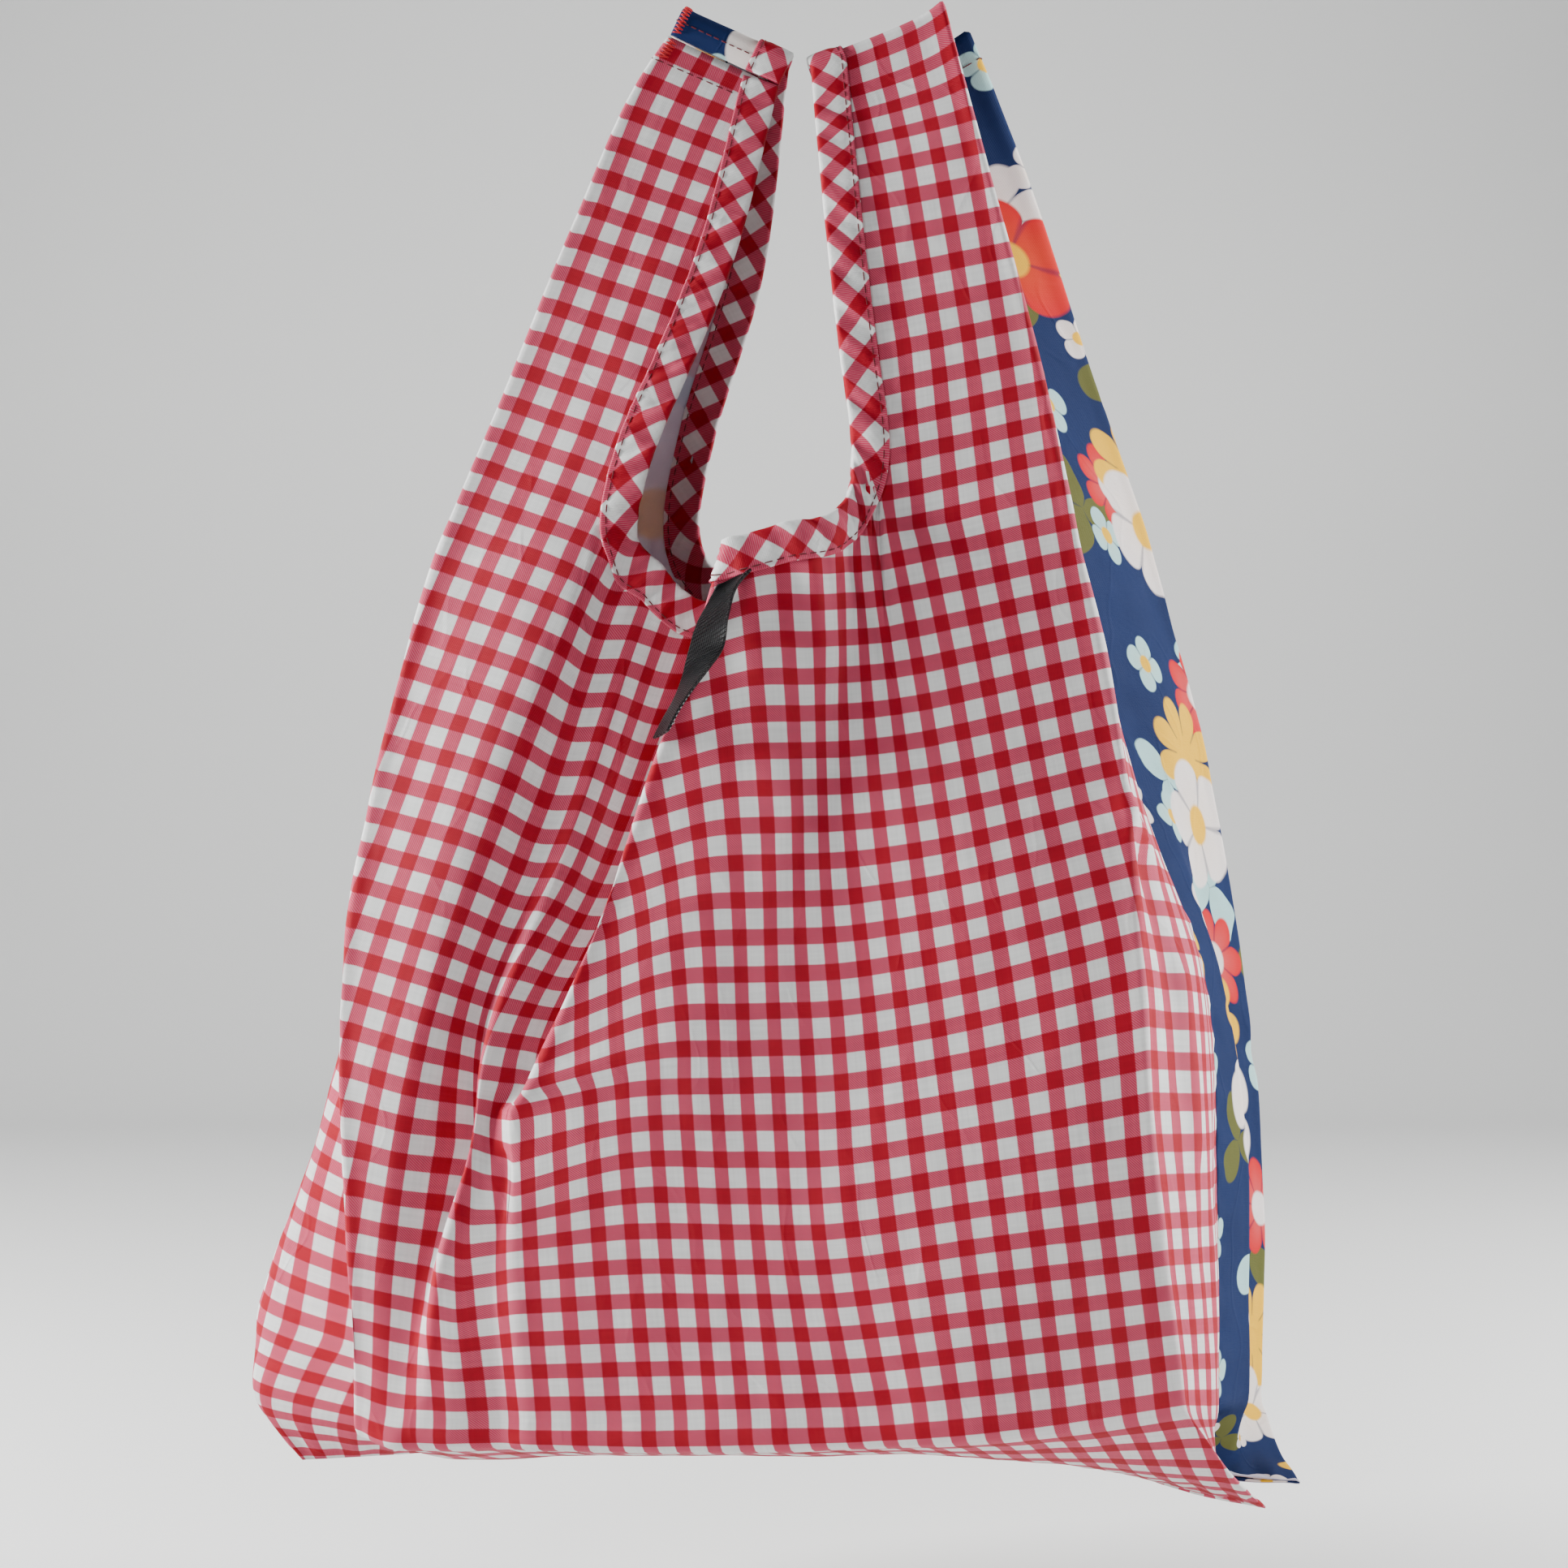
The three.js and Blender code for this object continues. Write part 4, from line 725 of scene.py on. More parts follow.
def panel_net(panel, step_u, step_v):
    """A panel's net of (u, v) points and quads. Columns keep their share of the way between
    two knots. Under the mouth they end just short of its cut, under the binding."""
    names, knots, _, _ = course(panel, np.array(COUNTED_AT))
    left_edge, right_edge = names.index("leftEdge"), names.index("rightEdge")
    segments, shares = [], []
    for k in range(len(names) - 1):
        tight = names[k].endswith("Before") or names[k + 1].endswith("After")
        width = (knots[:, k + 1] - knots[:, k]).max()
        parts = CREASE_COLUMNS if tight else max(2, int(np.ceil(width / step_u)))
        f = np.arange(parts) / parts
        if k == left_edge - 1:
            f = np.append(f[f < 1 - 1.5 * HIDDEN_EDGE], 1 - HIDDEN_EDGE)
            left = len(shares) + len(f) - 1
        if k == right_edge:
            right = len(shares) + 1
            f = np.concatenate([[0, HIDDEN_EDGE], f[f > 1.5 * HIDDEN_EDGE]])
        segments.extend([k] * len(f))
        shares.extend(f)
    segments, shares = np.array(segments + [len(names) - 2]), np.array(shares + [1.0])

    def column_u(v, columns):
        v = np.broadcast_to(v, columns.shape)
        _, line, _, _ = course(panel, v.ravel())
        row, k, f = np.arange(v.size), segments[columns.ravel()], shares[columns.ravel()]
        return (line[row, k] + f * (line[row, k + 1] - line[row, k])).reshape(columns.shape)

    columns = np.arange(len(segments))
    half = np.abs(column_u(MOUTH_TOP_V, np.array([left, right])))
    under = np.arange(left + 1, right)
    top = np.full(len(columns), MOUTH_TOP_V)
    for _ in range(TOP_PASSES):
        u = column_u(top[under], under)
        line = cut_line(panel["side"], u, np.where(u < 0, *half), HIDDEN_LOW)
        top[under] += TOP_PULL * (line - top[under])
    low = evenly(SEAM_V, LOW_ROWS_TO, step_v)
    rise = np.linspace(0, 1, int((MOUTH_TOP_V - LOW_ROWS_TO) / step_v))[1:]
    v = np.concatenate([np.repeat(low[:, None], len(columns), 1),
                        LOW_ROWS_TO + rise[:, None] * (top - LOW_ROWS_TO)])
    grid = np.broadcast_to(columns, v.shape)
    u = np.concatenate([column_u(v[r:r + ROWS_AT_ONCE], grid[r:r + ROWS_AT_ONCE])
                        for r in range(0, len(v), ROWS_AT_ONCE)])
    index = np.arange(v.size).reshape(v.shape)
    places, quads, count = [np.stack([u, v], -1).reshape(-1, 2)], [quads_of(index)], v.size
    for name, side in (("left", slice(0, left + 1)), ("right", slice(right, None))):
        rows = handle_rows(panel, name, step_v)
        own = np.broadcast_to(columns[side], (len(rows), len(columns[side])))
        v = np.broadcast_to(rows[:, None], own.shape)
        u = column_u(np.minimum(v, HANDLES[name]["turn_v"]), own)
        number = count + np.arange(own.size - own.shape[1]).reshape(-1, own.shape[1])
        places.append(np.stack([u, v], -1)[1:].reshape(-1, 2))
        quads.append(quads_of(np.concatenate([index[-1:, side], number])))
        count += number.size
    return np.concatenate(places), np.concatenate(quads)


def flat_area(places, quads):
    """Area of the cut cloth in square metres: half the cross product of each quad's
    diagonals in cloth coordinates."""
    a, b, c, d = (places[quads[:, k]] for k in range(4))
    p, q = c - a, d - b
    return float(np.abs(p[:, 0] * q[:, 1] - p[:, 1] * q[:, 0]).sum() / 2 * MM**2)


def build_panel(name, panel, sizes, material):
    """One panel as a closed sheet, with its wrinkles, and its flat size and area."""
    places, quads = panel_net(panel, sizes.column_step, sizes.row_step)
    u, v = places.T
    points = lie(panel, u, v)
    normals = normals_of(points, quads) * -panel["front"]
    points = points + normals * wrinkle(panel["side"], u, v)[:, None]
    both, faces, uv, inside = thick_sheet(points, quads, places / CHECK, sizes.cloth_thickness,
                                          -panel["front"])
    piece = add_mesh(name, both, faces, uv, material, inside)
    flat = (float(np.ptp(u)) * MM, float(np.ptp(v)) * MM)
    return piece, flat, flat_area(places, quads)


def mouth_path(panel, spacing):
    """The mouth's cut from the left handle's end round to the right one's, at even steps:
    (u, v), the way into the cloth across it, and the length run so far."""
    left = np.linspace(panel_end(panel, "left"), MOUTH_TOP_V, CUT_STEPS)[:-1]
    right = np.linspace(MOUTH_TOP_V, panel_end(panel, "right"), CUT_STEPS)[1:]
    turn = np.linspace(-np.pi / 2, np.pi / 2, CORNER_STEPS)
    power = 2 / mouth_power(panel["side"], turn)
    u = MOUTH_HALF * np.sign(np.sin(turn)) * np.abs(np.sin(turn)) ** power
    v = MOUTH_TOP_V - MOUTH_RISE * np.cos(turn) ** power
    ends = []
    for rows, name in ((left, "left"), (right, "right")):
        names, knots, _, _ = course(panel, np.minimum(rows, HANDLES[name]["turn_v"]))
        ends.append(knots[:, names.index(name + "Edge")])
    u = np.concatenate([ends[0], u, ends[1]])
    v = np.concatenate([left, v, right])
    run = run_along(np.stack([u, v], -1))
    s = np.linspace(0, run[-1], int(run[-1] / spacing))
    u, v = np.interp(s, run, u), np.interp(s, run, v)
    du, dv = np.gradient(u), np.gradient(v)
    length = np.hypot(du, dv)
    return u, v, dv / length, -du / length, s


def binding_frame(panel, spacing):
    """Path of the cut, with how much cloth lies under each millimetre of binding, evened
    out: in each round a value moves half way to its neighbours' mean."""
    u, v, nu, nv, s = mouth_path(panel, spacing)
    edge = lie(panel, u, v)
    inner = lie(panel, u + nu * CHECK, v + nv * CHECK)
    spare = CHECK / np.maximum(np.linalg.norm(inner - edge, axis=1), CHECK / 2)
    spare = np.clip(spare, 1, SPARE_MOST)
    for _ in range(SPARE_PASSES):
        padded = np.pad(spare, 1, mode="edge")
        spare = (spare + (padded[:-2] + padded[2:]) / 2) / 2
    return u, v, nu, nv, s, spare


def binding_profile(sizes):
    """Section of the binding as (inset, height) of its cloth's middle: turned in, folded at
    the sewn edge, round the cut edge, folded again and turned in on the other side."""
    wall, width = sizes.binding_wall, sizes.binding_width
    low, high = wall * BINDING_LOW, wall * BINDING_HIGH
    turn = np.linspace(-np.pi / 2, np.pi / 2, 6)
    fold = np.stack([width - wall + wall * 0.6 * np.cos(turn),
                     (low + high) / 2 + (high - low) / 2 * np.sin(turn)], -1)
    face = np.stack([np.linspace(width - 2 * wall, 0.5, 9), np.full(9, high)], -1)
    over = np.linspace(np.pi / 2, 0, 6)[1:]
    edge = np.stack([-np.cos(over) * wall * 1.2, np.sin(over) * high], -1)
    edge[-1, 1] = 0
    turned_in = [[width * 0.35, low], [width * 0.7, low]]
    half = np.concatenate([turned_in, fold, face, edge])
    return np.concatenate([half, half[-2::-1] * [1, -1]])


def build_binding(name, panel, sizes, material):
    """The folded binding: its section carried along the cut, lifted from the cloth by its
    heights, sunk along the stitches and puckered a little between them."""
    u, v, nu, nv, s, spare = binding_frame(panel, sizes.binding_step)
    profile = binding_profile(sizes)
    inset, height = profile.T[:, None]
    reach = inset * np.where(inset > 0, spare[:, None], 1)
    points, normals = place(panel, u[:, None] + nu[:, None] * reach,
                            v[:, None] + nv[:, None] * reach)
    sunk = FURROW_DEPTH * hump(inset, sizes.binding_width - sizes.stitch_inset, FURROW_REACH)
    swell = (0.16 * ripple(s, 9.3, 1.5, 17) + 0.1 * ripple(s, 4.1, 2, 11))[:, None]
    swell = swell * hump(inset, SWELL_AT, SWELL_REACH) + BINDING_LIFT
    on_face = np.abs(height) > sizes.binding_wall
    lift = height + np.sign(height) * np.where(on_face, swell - sunk, 0)
    girth = run_along(profile)
    uv = np.stack(np.broadcast_arrays(s[:, None], girth), -1).reshape(-1, 2) / CHECK
    both, faces, uv, _ = thick_sheet(*grid_of(points + normals * lift[..., None]), uv,
                                     sizes.binding_cloth, -panel["front"])
    piece = add_mesh(name, both, faces, uv, material)
    return piece, (float(s[-1]) * MM, float(girth[-1]) * MM)


def stitch_run(panel, u, v, lift, sizes, face=1):
    """Stitches along a line of cloth: short tubes at an even pitch that dip at their ends.
    They lie on the cloth's outer face, or for -1 on its inner one."""
    run = run_along(np.stack([u, v], -1))
    middles = np.arange(sizes.stitch_pitch / 2, run[-1], sizes.stitch_pitch)
    f = np.linspace(-1, 1, STITCH_STEPS)
    at = middles[:, None] + f * sizes.stitch_pitch * STITCH_SHARE / 2
    points, normals = place(panel, np.interp(at, run, u), np.interp(at, run, v))
    normals = normals * face
    dip = lift - STITCH_DIP * f[:, None] ** 4
    return tubes(points + normals * dip, normals, sizes.thread_diameter / 2)


def bartack_run(panel, u, start, end):
    """Thread of a bartack: close bars across its line, slanting to and fro."""
    t = np.linspace(-1, 1, STITCH_STEPS)
    bars = np.arange(int(abs(end - start) / BARTACK_STEP))
    slant = np.where(bars % 2, BARTACK_SLANT, -BARTACK_SLANT)[:, None]
    v = start + np.sign(end - start) * bars[:, None] * BARTACK_STEP + slant * t
    points, normals = place(panel, u + BARTACK_HALF * t, v)
    lift = SEAM_LIFT - BARTACK_DIP * t[:, None] ** 4
    return tubes(points + normals * lift, normals, BARTACK_RADIUS)


def add_threads(name, parts, material):
    """One piece of sewing from several sets of points, faces and UVs."""
    points, faces, uv = zip(*parts)
    starts = np.cumsum([0, *map(len, points[:-1])])
    faces = [rows + start for rows, start in zip(faces, starts)]
    return add_mesh(name, np.concatenate(points), np.concatenate(faces), np.concatenate(uv),
                    material)


def tint(red, green, blue):
    """Linear values of a colour given as a screen shows it, 0 to 255."""
    values = np.array([red, green, blue]) / 255
    return tuple(np.where(values <= 0.04045, values / 12.92, ((values + 0.055) / 1.055) ** 2.4))


class Wires:
    """Places nodes in a node tree and wires them together. A value is an output of another
    node, a number or a colour."""

    def __init__(self, tree):
        self.tree = tree

    def node(self, kind, inputs=None, **settings):
        node = self.tree.nodes.new(kind)
        for name, value in settings.items():
            setattr(node, name, value)
        for key, value in (inputs or {}).items():
            self.feed(node.inputs[key], value)
        return node

    def feed(self, socket, value):
        if isinstance(value, bpy.types.NodeSocket):
            self.tree.links.new(value, socket)
        else:
            if socket.type == "RGBA" and len(value) == 3:
                value = (*value, 1)
            socket.default_value = value

    def math(self, operation, *values, clamp=False):
        return self.node("ShaderNodeMath", dict(enumerate(values)), operation=operation,
                         use_clamp=clamp).outputs[0]

    def vector(self, operation, first, second):
        inputs = {0: first, 3 if operation == "SCALE" else 1: second}
        return self.node("ShaderNodeVectorMath", inputs, operation=operation).outputs["Vector"]

    def length(self, vector):
        node = self.node("ShaderNodeVectorMath", {0: vector}, operation="LENGTH")
        return node.outputs["Value"]

    def mix(self, factor, a, b):
        inputs = {"Factor": factor, 6: a, 7: b}
        return self.node("ShaderNodeMix", inputs, data_type="RGBA").outputs[2]

    def split(self, vector):
        return self.node("ShaderNodeSeparateXYZ", {"Vector": vector}).outputs[:2]

    def noise(self, vector, scale, detail=2.0):
        inputs = {"Vector": vector, "Scale": scale, "Detail": detail}
        return self.node("ShaderNodeTexNoise", inputs).outputs["Fac"]

    def sine(self, value, rate):
        return self.math("SINE", self.math("MULTIPLY", value, rate))

    def soft_step(self, value, edge, soft):
        """1 where the value is below the edge, 0 above, with a soft change between."""
        return self.math("MULTIPLY_ADD", self.math("SUBTRACT", edge, value), 1 / soft, 0.5,
                         clamp=True)

    def bump(self, height, strength, depth, **under):
        inputs = {"Height": height, "Strength": strength, "Distance": depth, **under}
        return self.node("ShaderNodeBump", inputs).outputs["Normal"]

    def group(self, name, inputs):
        node = self.node("ShaderNodeGroup", inputs, node_tree=bpy.data.node_groups[name])
        return node.outputs


def new_group(name, inputs, outputs):
    """A shader node group with named sockets, from rows [name, kind, default] and [name,
    kind]: its wires, what goes in, and the sockets that take what comes out."""
    group = bpy.data.node_groups.new(name, "ShaderNodeTree")
    for label, kind, value in inputs:
        socket = group.interface.new_socket(label, in_out="INPUT", socket_type="NodeSocket" + kind)
        if value is not None:
            socket.default_value = (*value, 1) if kind == "Color" else value
    for label, kind in outputs:
        group.interface.new_socket(label, in_out="OUTPUT", socket_type="NodeSocket" + kind)
    w = Wires(group)
    return w, w.node("NodeGroupInput").outputs, w.node("NodeGroupOutput").inputs


def gingham_group():
    """Woven checks. Dyed stripes run both ways: ground where neither runs, a mottled
    mixture where one does, the full colour where both cross."""
    w, take, give = new_group("Gingham", [
        ("Cloth", "Vector", None), ("Stripe", "Float", 0.45),
        ("Ground", "Color", (0.85, 0.85, 0.83)), ("One Stripe", "Color", (0.7, 0.1, 0.2)),
        ("Crossing", "Color", (0.4, 0.01, 0.03))], [("Color", "Color"), ("Dyed", "Float")])
    x, y = w.split(take["Cloth"])
    half = w.math("MULTIPLY", take["Stripe"], 0.5)
    waver = w.math("MULTIPLY_ADD", w.noise(take["Cloth"], 1.1), 0.03, -0.015)
    masks = []
    for value, centre in ((x, 0.0), (y, 0.4)):
        share = w.math("FRACT", w.math("ADD", w.math("ADD", value, waver),
                                       0.5 - centre + CHECKS_UP))
        from_middle = w.math("ABSOLUTE", w.math("SUBTRACT", share, 0.5))
        masks.append(w.soft_step(from_middle, half, 0.03))
    stripes = w.math("ADD", *masks)
    mottle = w.math("MULTIPLY_ADD", w.sine(w.math("ADD", x, y), 2 * np.pi / TWILL), 0.16, 1.0)
    streaks = [w.noise(w.vector("MULTIPLY", take["Cloth"], way), 1.0)
               for way in ((9.0, 0.35, 1.0), (0.35, 9.0, 1.0))]
    streak = w.math("MULTIPLY_ADD", w.math("ADD", *streaks), 0.22, 0.78)
    one = w.math("MULTIPLY", w.math("MINIMUM", stripes, 1.0), mottle, clamp=True)
    two = w.math("SUBTRACT", stripes, 1.0, clamp=True)
    color = w.mix(two, w.mix(one, take["Ground"], take["One Stripe"]), take["Crossing"])
    w.feed(give["Color"], w.vector("SCALE", color, streak))
    w.feed(give["Dyed"], w.math("MULTIPLY", stripes, 0.5))


def weave_group():
    """Height of a fine twill: slanting wales, crossed by the single yarns, with slubs."""
    w, take, give = new_group(
        "Twill Weave", [("Cloth", "Vector", None), ("Wale", "Float", WALE)], [("Height", "Float")])
    x, y = w.split(take["Cloth"])
    rate = w.math("DIVIDE", 2 * np.pi, take["Wale"])
    wale = w.sine(w.math("ADD", x, y), rate)
    yarn = w.sine(w.math("MULTIPLY", w.math("SUBTRACT", x, y), rate), 1.7)
    slub = w.noise(w.vector("MULTIPLY", take["Cloth"], (1.2, 14.0, 1.0)), 2.0)
    w.feed(give["Height"], w.math("MULTIPLY_ADD", wale, 0.3,
                                  w.math("MULTIPLY_ADD", yarn, 0.12, slub)))


def crumple_group():
    """Height of soft small dents and faint pressed lines, as cloth keeps from folding."""
    w, take, give = new_group(
        "Crumple", [("Cloth", "Vector", None), ("Size", "Float", 1.0)], [("Height", "Float")])
    scaled = w.vector("SCALE", take["Cloth"], w.math("DIVIDE", 1.0, take["Size"]))
    long_noise = w.noise(w.vector("MULTIPLY", scaled, (0.4, 0.25, 1.0)), 1.0, 1.0)
    line = w.soft_step(w.math("ABSOLUTE", w.math("SUBTRACT", long_noise, 0.5)), 0.012, 0.02)
    w.feed(give["Height"], w.math("MULTIPLY_ADD", line, 0.12, w.noise(scaled, 0.55, 3.0)))


def blossom_group():
    """One kind of flower scattered over cells: a flower is where the distance from its
    cell's point is less than a radius that swells and shrinks round it with its petals."""
    w, take, give = new_group("Blossom", [
        ("Cloth", "Vector", None), ("Shift", "Vector", None), ("Cell", "Float", 5.0),
        ("Jitter", "Float", 0.35), ("Radius", "Float", 0.3), ("Petals", "Float", 5.0),
        ("Notch", "Float", 0.3), ("Roundness", "Float", 0.6), ("Core", "Float", 0.26)],
        [("Flower", "Float"), ("Middle", "Float"), ("Way Out", "Float"), ("Rib", "Float"),
         ("Pick", "Float")])
    cell = w.math("DIVIDE", 1.0, take["Cell"])
    spot = w.vector("SCALE", w.vector("ADD", take["Cloth"], take["Shift"]), cell)
    cells = w.node("ShaderNodeTexVoronoi", {"Vector": spot, "Scale": 1.0,
                                            "Randomness": take["Jitter"]},
                   voronoi_dimensions="2D")
    away = w.vector("SUBTRACT", spot, cells.outputs["Position"])
    chance = w.node("ShaderNodeSeparateXYZ", {"Vector": cells.outputs["Color"]}).outputs
    size = w.math("MULTIPLY", take["Radius"], w.math("MULTIPLY_ADD", chance["Y"], 0.3, 0.8))
    x, y = w.split(away)
    turn = w.math("MULTIPLY_ADD", chance["X"], 2 * np.pi, w.math("ARCTAN2", y, x))
    bend = w.math("MULTIPLY", w.math("MULTIPLY", turn, take["Petals"]), 0.5)
    wave = w.math("ABSOLUTE", w.math("COSINE", bend))
    swell = w.math("POWER", wave, take["Roundness"])
    edge = w.math("MULTIPLY", size, w.math("MULTIPLY_ADD", w.math("SUBTRACT", swell, 1.0),
                                           take["Notch"], 1.0))
    reach = w.length(away)
    w.feed(give["Flower"], w.soft_step(w.math("SUBTRACT", reach, edge), 0.0, 0.012))
    w.feed(give["Middle"], w.soft_step(w.math("DIVIDE", reach, size), take["Core"], 0.06))
    w.feed(give["Way Out"], w.math("DIVIDE", reach, edge, clamp=True))
    w.feed(give["Rib"], wave)
    w.feed(give["Pick"], chance["Z"])


def plain_material(name, roughness):
    """A material with its wires and its shader."""
    material = bpy.data.materials.new(name)
    material.use_nodes = True
    shader = material.node_tree.nodes["Principled BSDF"]
    shader.inputs["Roughness"].default_value = roughness
    return material, Wires(material.node_tree), shader


def new_material(name, roughness, sheen=0.0, specular=0.15):
    """A cloth's material, with its wires, its shader's inputs and its UV coordinates."""
    material, w, shader = plain_material(name, roughness)
    shader.inputs["Sheen Weight"].default_value = sheen
    shader.inputs["Sheen Roughness"].default_value = 0.4
    shader.inputs["Specular IOR Level"].default_value = specular
    cloth = w.node("ShaderNodeUVMap", uv_map="cloth").outputs["UV"]
    return material, w, shader, cloth


def let_light_through(w, shader, color):
    """Mixes in the light that thin cloth lets through from behind."""
    through = w.node("ShaderNodeBsdfTranslucent", {"Color": color})
    both = w.node("ShaderNodeMixShader", {0: LIGHT_THROUGH, 1: shader.outputs[0],
                                          2: through.outputs[0]})
    w.feed(w.tree.nodes["Material Output"].inputs["Surface"], both.outputs[0])


def cloth_bump(w, shader, cloth):
    """Feeds a shader's normal from the weave's height over the crumple's height."""
    soft = w.group("Crumple", {"Cloth": cloth})["Height"]
    fine = w.group("Twill Weave", {"Cloth": cloth, "Wale": WALE})["Height"]
    under = w.bump(soft, 1.0, CRUMPLE_DEPTH)
    w.feed(shader.inputs["Normal"], w.bump(fine, 0.8, WEAVE_DEPTH, Normal=under))


def checked_material(name, colours, sizes, turned):
    """Gingham, straight or on the bias."""
    material, w, shader, cloth = new_material(name, 0.6, 0.05)
    if turned:
        cloth = w.node("ShaderNodeVectorRotate", {"Vector": cloth, "Angle": np.pi / 4},
                       rotation_type="Z_AXIS").outputs["Vector"]
    checks = w.group("Gingham", {
        "Cloth": cloth, "Stripe": sizes.stripe_share, "Ground": tuple(colours.white),
        "One Stripe": tuple(colours.stripe), "Crossing": tuple(colours.crossing)})
    w.feed(shader.inputs["Base Color"], checks["Color"])
    w.feed(shader.inputs["Roughness"], w.math("MULTIPLY_ADD", checks["Dyed"], -0.08, 0.62))
    let_light_through(w, shader, checks["Color"])
    cloth_bump(w, shader, cloth)
    return material


def flower_print(w, cloth, colours):
    """The print from its ground up: leaves, small flowers, then the three large kinds."""
    navy = tuple(colours.navy)
    color = w.mix(w.math("MULTIPLY", w.noise(cloth, 0.35), 0.5), navy,
                  tuple(c * 1.7 for c in navy))
    for kind, shift, cell, jitter, radius, petals, notch, roundness, core, split in PRINT_LAYERS:
        flower = w.group("Blossom", {
            "Cloth": cloth, "Shift": (*shift, 0), "Cell": cell, "Jitter": jitter, "Radius": radius,
            "Petals": petals, "Notch": notch, "Roundness": roundness, "Core": core})
        first, second, middle = (tuple(getattr(colours, name)) for name in PRINT_COLOURS[kind])
        petal = w.mix(w.soft_step(flower["Pick"], split, 0.001), second, first)
        fade = w.math("MULTIPLY", w.math("SUBTRACT", 1.0, flower["Way Out"]), 0.12)
        petal = w.mix(fade, petal, middle)
        gap = w.math("MULTIPLY", w.soft_step(flower["Rib"], 0.16, 0.2), 0.5)
        petal = w.mix(gap, petal, navy)
        petal = w.mix(flower["Middle"], petal, middle)
        color = w.mix(flower["Flower"], color, petal)
    return color


def flowered_material(name, colours):
    """The print on the right side, and its pale wrong side where it shows through."""
    material, w, shader, cloth = new_material(name, 0.65, 0.0, 0.1)
    print_color = flower_print(w, cloth, colours)
    wrong = w.mix(0.1, tuple(colours.lavender), print_color)
    inside = w.node("ShaderNodeAttribute", attribute_name="inside").outputs["Fac"]
    shown = w.mix(w.math("GREATER_THAN", inside, 0.5), print_color, wrong)
    w.feed(shader.inputs["Base Color"], shown)
    let_light_through(w, shader, shown)
    cloth_bump(w, shader, cloth)
    return material


def thread_material(name, colour):
    """Sewing thread: twisted plies that run slantwise round it, with painted shade darkening the colour in the
    grooves between them.
    """
    material, w, shader, cloth = new_material(name, 0.45, 0.2)
    x, y = w.split(cloth)
    twist = w.sine(w.math("MULTIPLY_ADD", x, 16.0, y), 4 * np.pi)
    # Painted shade: the thread's colour falls to 0.7 of itself in the grooves between the plies, where the bump
    # is lowest.
    painted_ply_shade = w.math("MULTIPLY_ADD", twist, 0.15, 0.85)
    w.feed(shader.inputs["Base Color"], w.vector("SCALE", tuple(colour), painted_ply_shade))
    w.feed(shader.inputs["Normal"], w.bump(twist, 0.6, TWIST_DEPTH))
    return material


def tape_material(name, colour):
    """Black woven tape: fine slanting ribs, crossed by single yarns, its colour lighter on the ribs' crests as a
    painted highlight and in random patches.
    """
    material, w, shader, cloth = new_material(name, 0.3, 0.0, 0.3)
    x, y = w.split(cloth)
    rib = w.sine(w.math("MULTIPLY_ADD", x, 0.5, y), 2 * np.pi / TAPE_RIB)
    yarn = w.sine(x, 2 * np.pi / TAPE_YARN)
    # Painted highlight: the colour is up to twice as light on the ribs' crests, mixed with random lighter
    # patches.
    rib_highlight_and_mottle = w.math("MULTIPLY_ADD", rib, 0.25, w.noise(cloth, 3.0))
    w.feed(shader.inputs["Base Color"], w.mix(rib_highlight_and_mottle, tuple(colour), tuple(c * 2 for c in colour)))
    height = w.math("MULTIPLY_ADD", yarn, 0.35, rib)
    w.feed(shader.inputs["Normal"], w.bump(height, 1.0, RIB_DEPTH))
    return material


def floor_material(name, colour):
    """Matt pale paper with the faintest mottling."""
    material, w, shader = plain_material(name, 0.9)
    mottle = w.noise(w.node("ShaderNodeTexCoord").outputs["Object"], 6.0)
    w.feed(shader.inputs["Base Color"], w.mix(mottle, tuple(colour),
                                              tuple(c * 0.98 for c in colour)))
    return material


def amount(name, description, default, low, high):
    return bpy.props.FloatProperty(name=name, description=description, default=default,
                                   min=low, max=high)


def colour(name, description, default):
    return bpy.props.FloatVectorProperty(name=name, description=description, default=default,
                                         subtype="COLOR", size=3, min=0, max=1)


class LUNCHBAG_PG_sizes(bpy.types.PropertyGroup):
    """Sizes of the cloth and of the sewing, in millimetres"""
    cloth_thickness: amount("Cloth Thickness", "Thickness of a panel's cloth in mm", 0.4, 0.2, 1.2)
    stripe_share: amount("Stripe Share", "Part of a check that a dyed stripe takes", 0.45, 0.3, 0.7)
    column_step: amount("Column Step", "Widest step of the mesh across a panel in mm", 2.2, 1, 20)
    row_step: amount("Row Step", "Step of the mesh up a panel in mm", 2.3, 1, 20)
    binding_width: amount("Binding Width", "Width of the folded binding in mm", 10.0, 6, 14)
    binding_wall: amount("Binding Wall", "Height of one side of the binding in mm", 0.7, 0.4, 1.2)
    binding_step: amount("Binding Step", "Step of the mesh along a binding in mm", 1.1, 0.5, 10)
    binding_cloth: amount("Binding Cloth", "Thickness of the binding's cloth in mm", 0.3, 0.1, 0.5)
    stitch_inset: amount("Stitch Inset", "Sewing line from the binding's edge in mm", 1.6, 0.5, 4)
    stitch_pitch: amount("Stitch Pitch", "Length from stitch to stitch in mm", 3.3, 1, 6)
    thread_diameter: amount("Thread Diameter", "Diameter of the sewing thread in mm", 0.36, 0.1, 0.8)
    tape_width: amount("Tape Width", "Width of the black tape in mm", 10.0, 4, 14)
    tape_thickness: amount("Tape Thickness", "Thickness of the black tape in mm", 0.8, 0.3, 1.5)


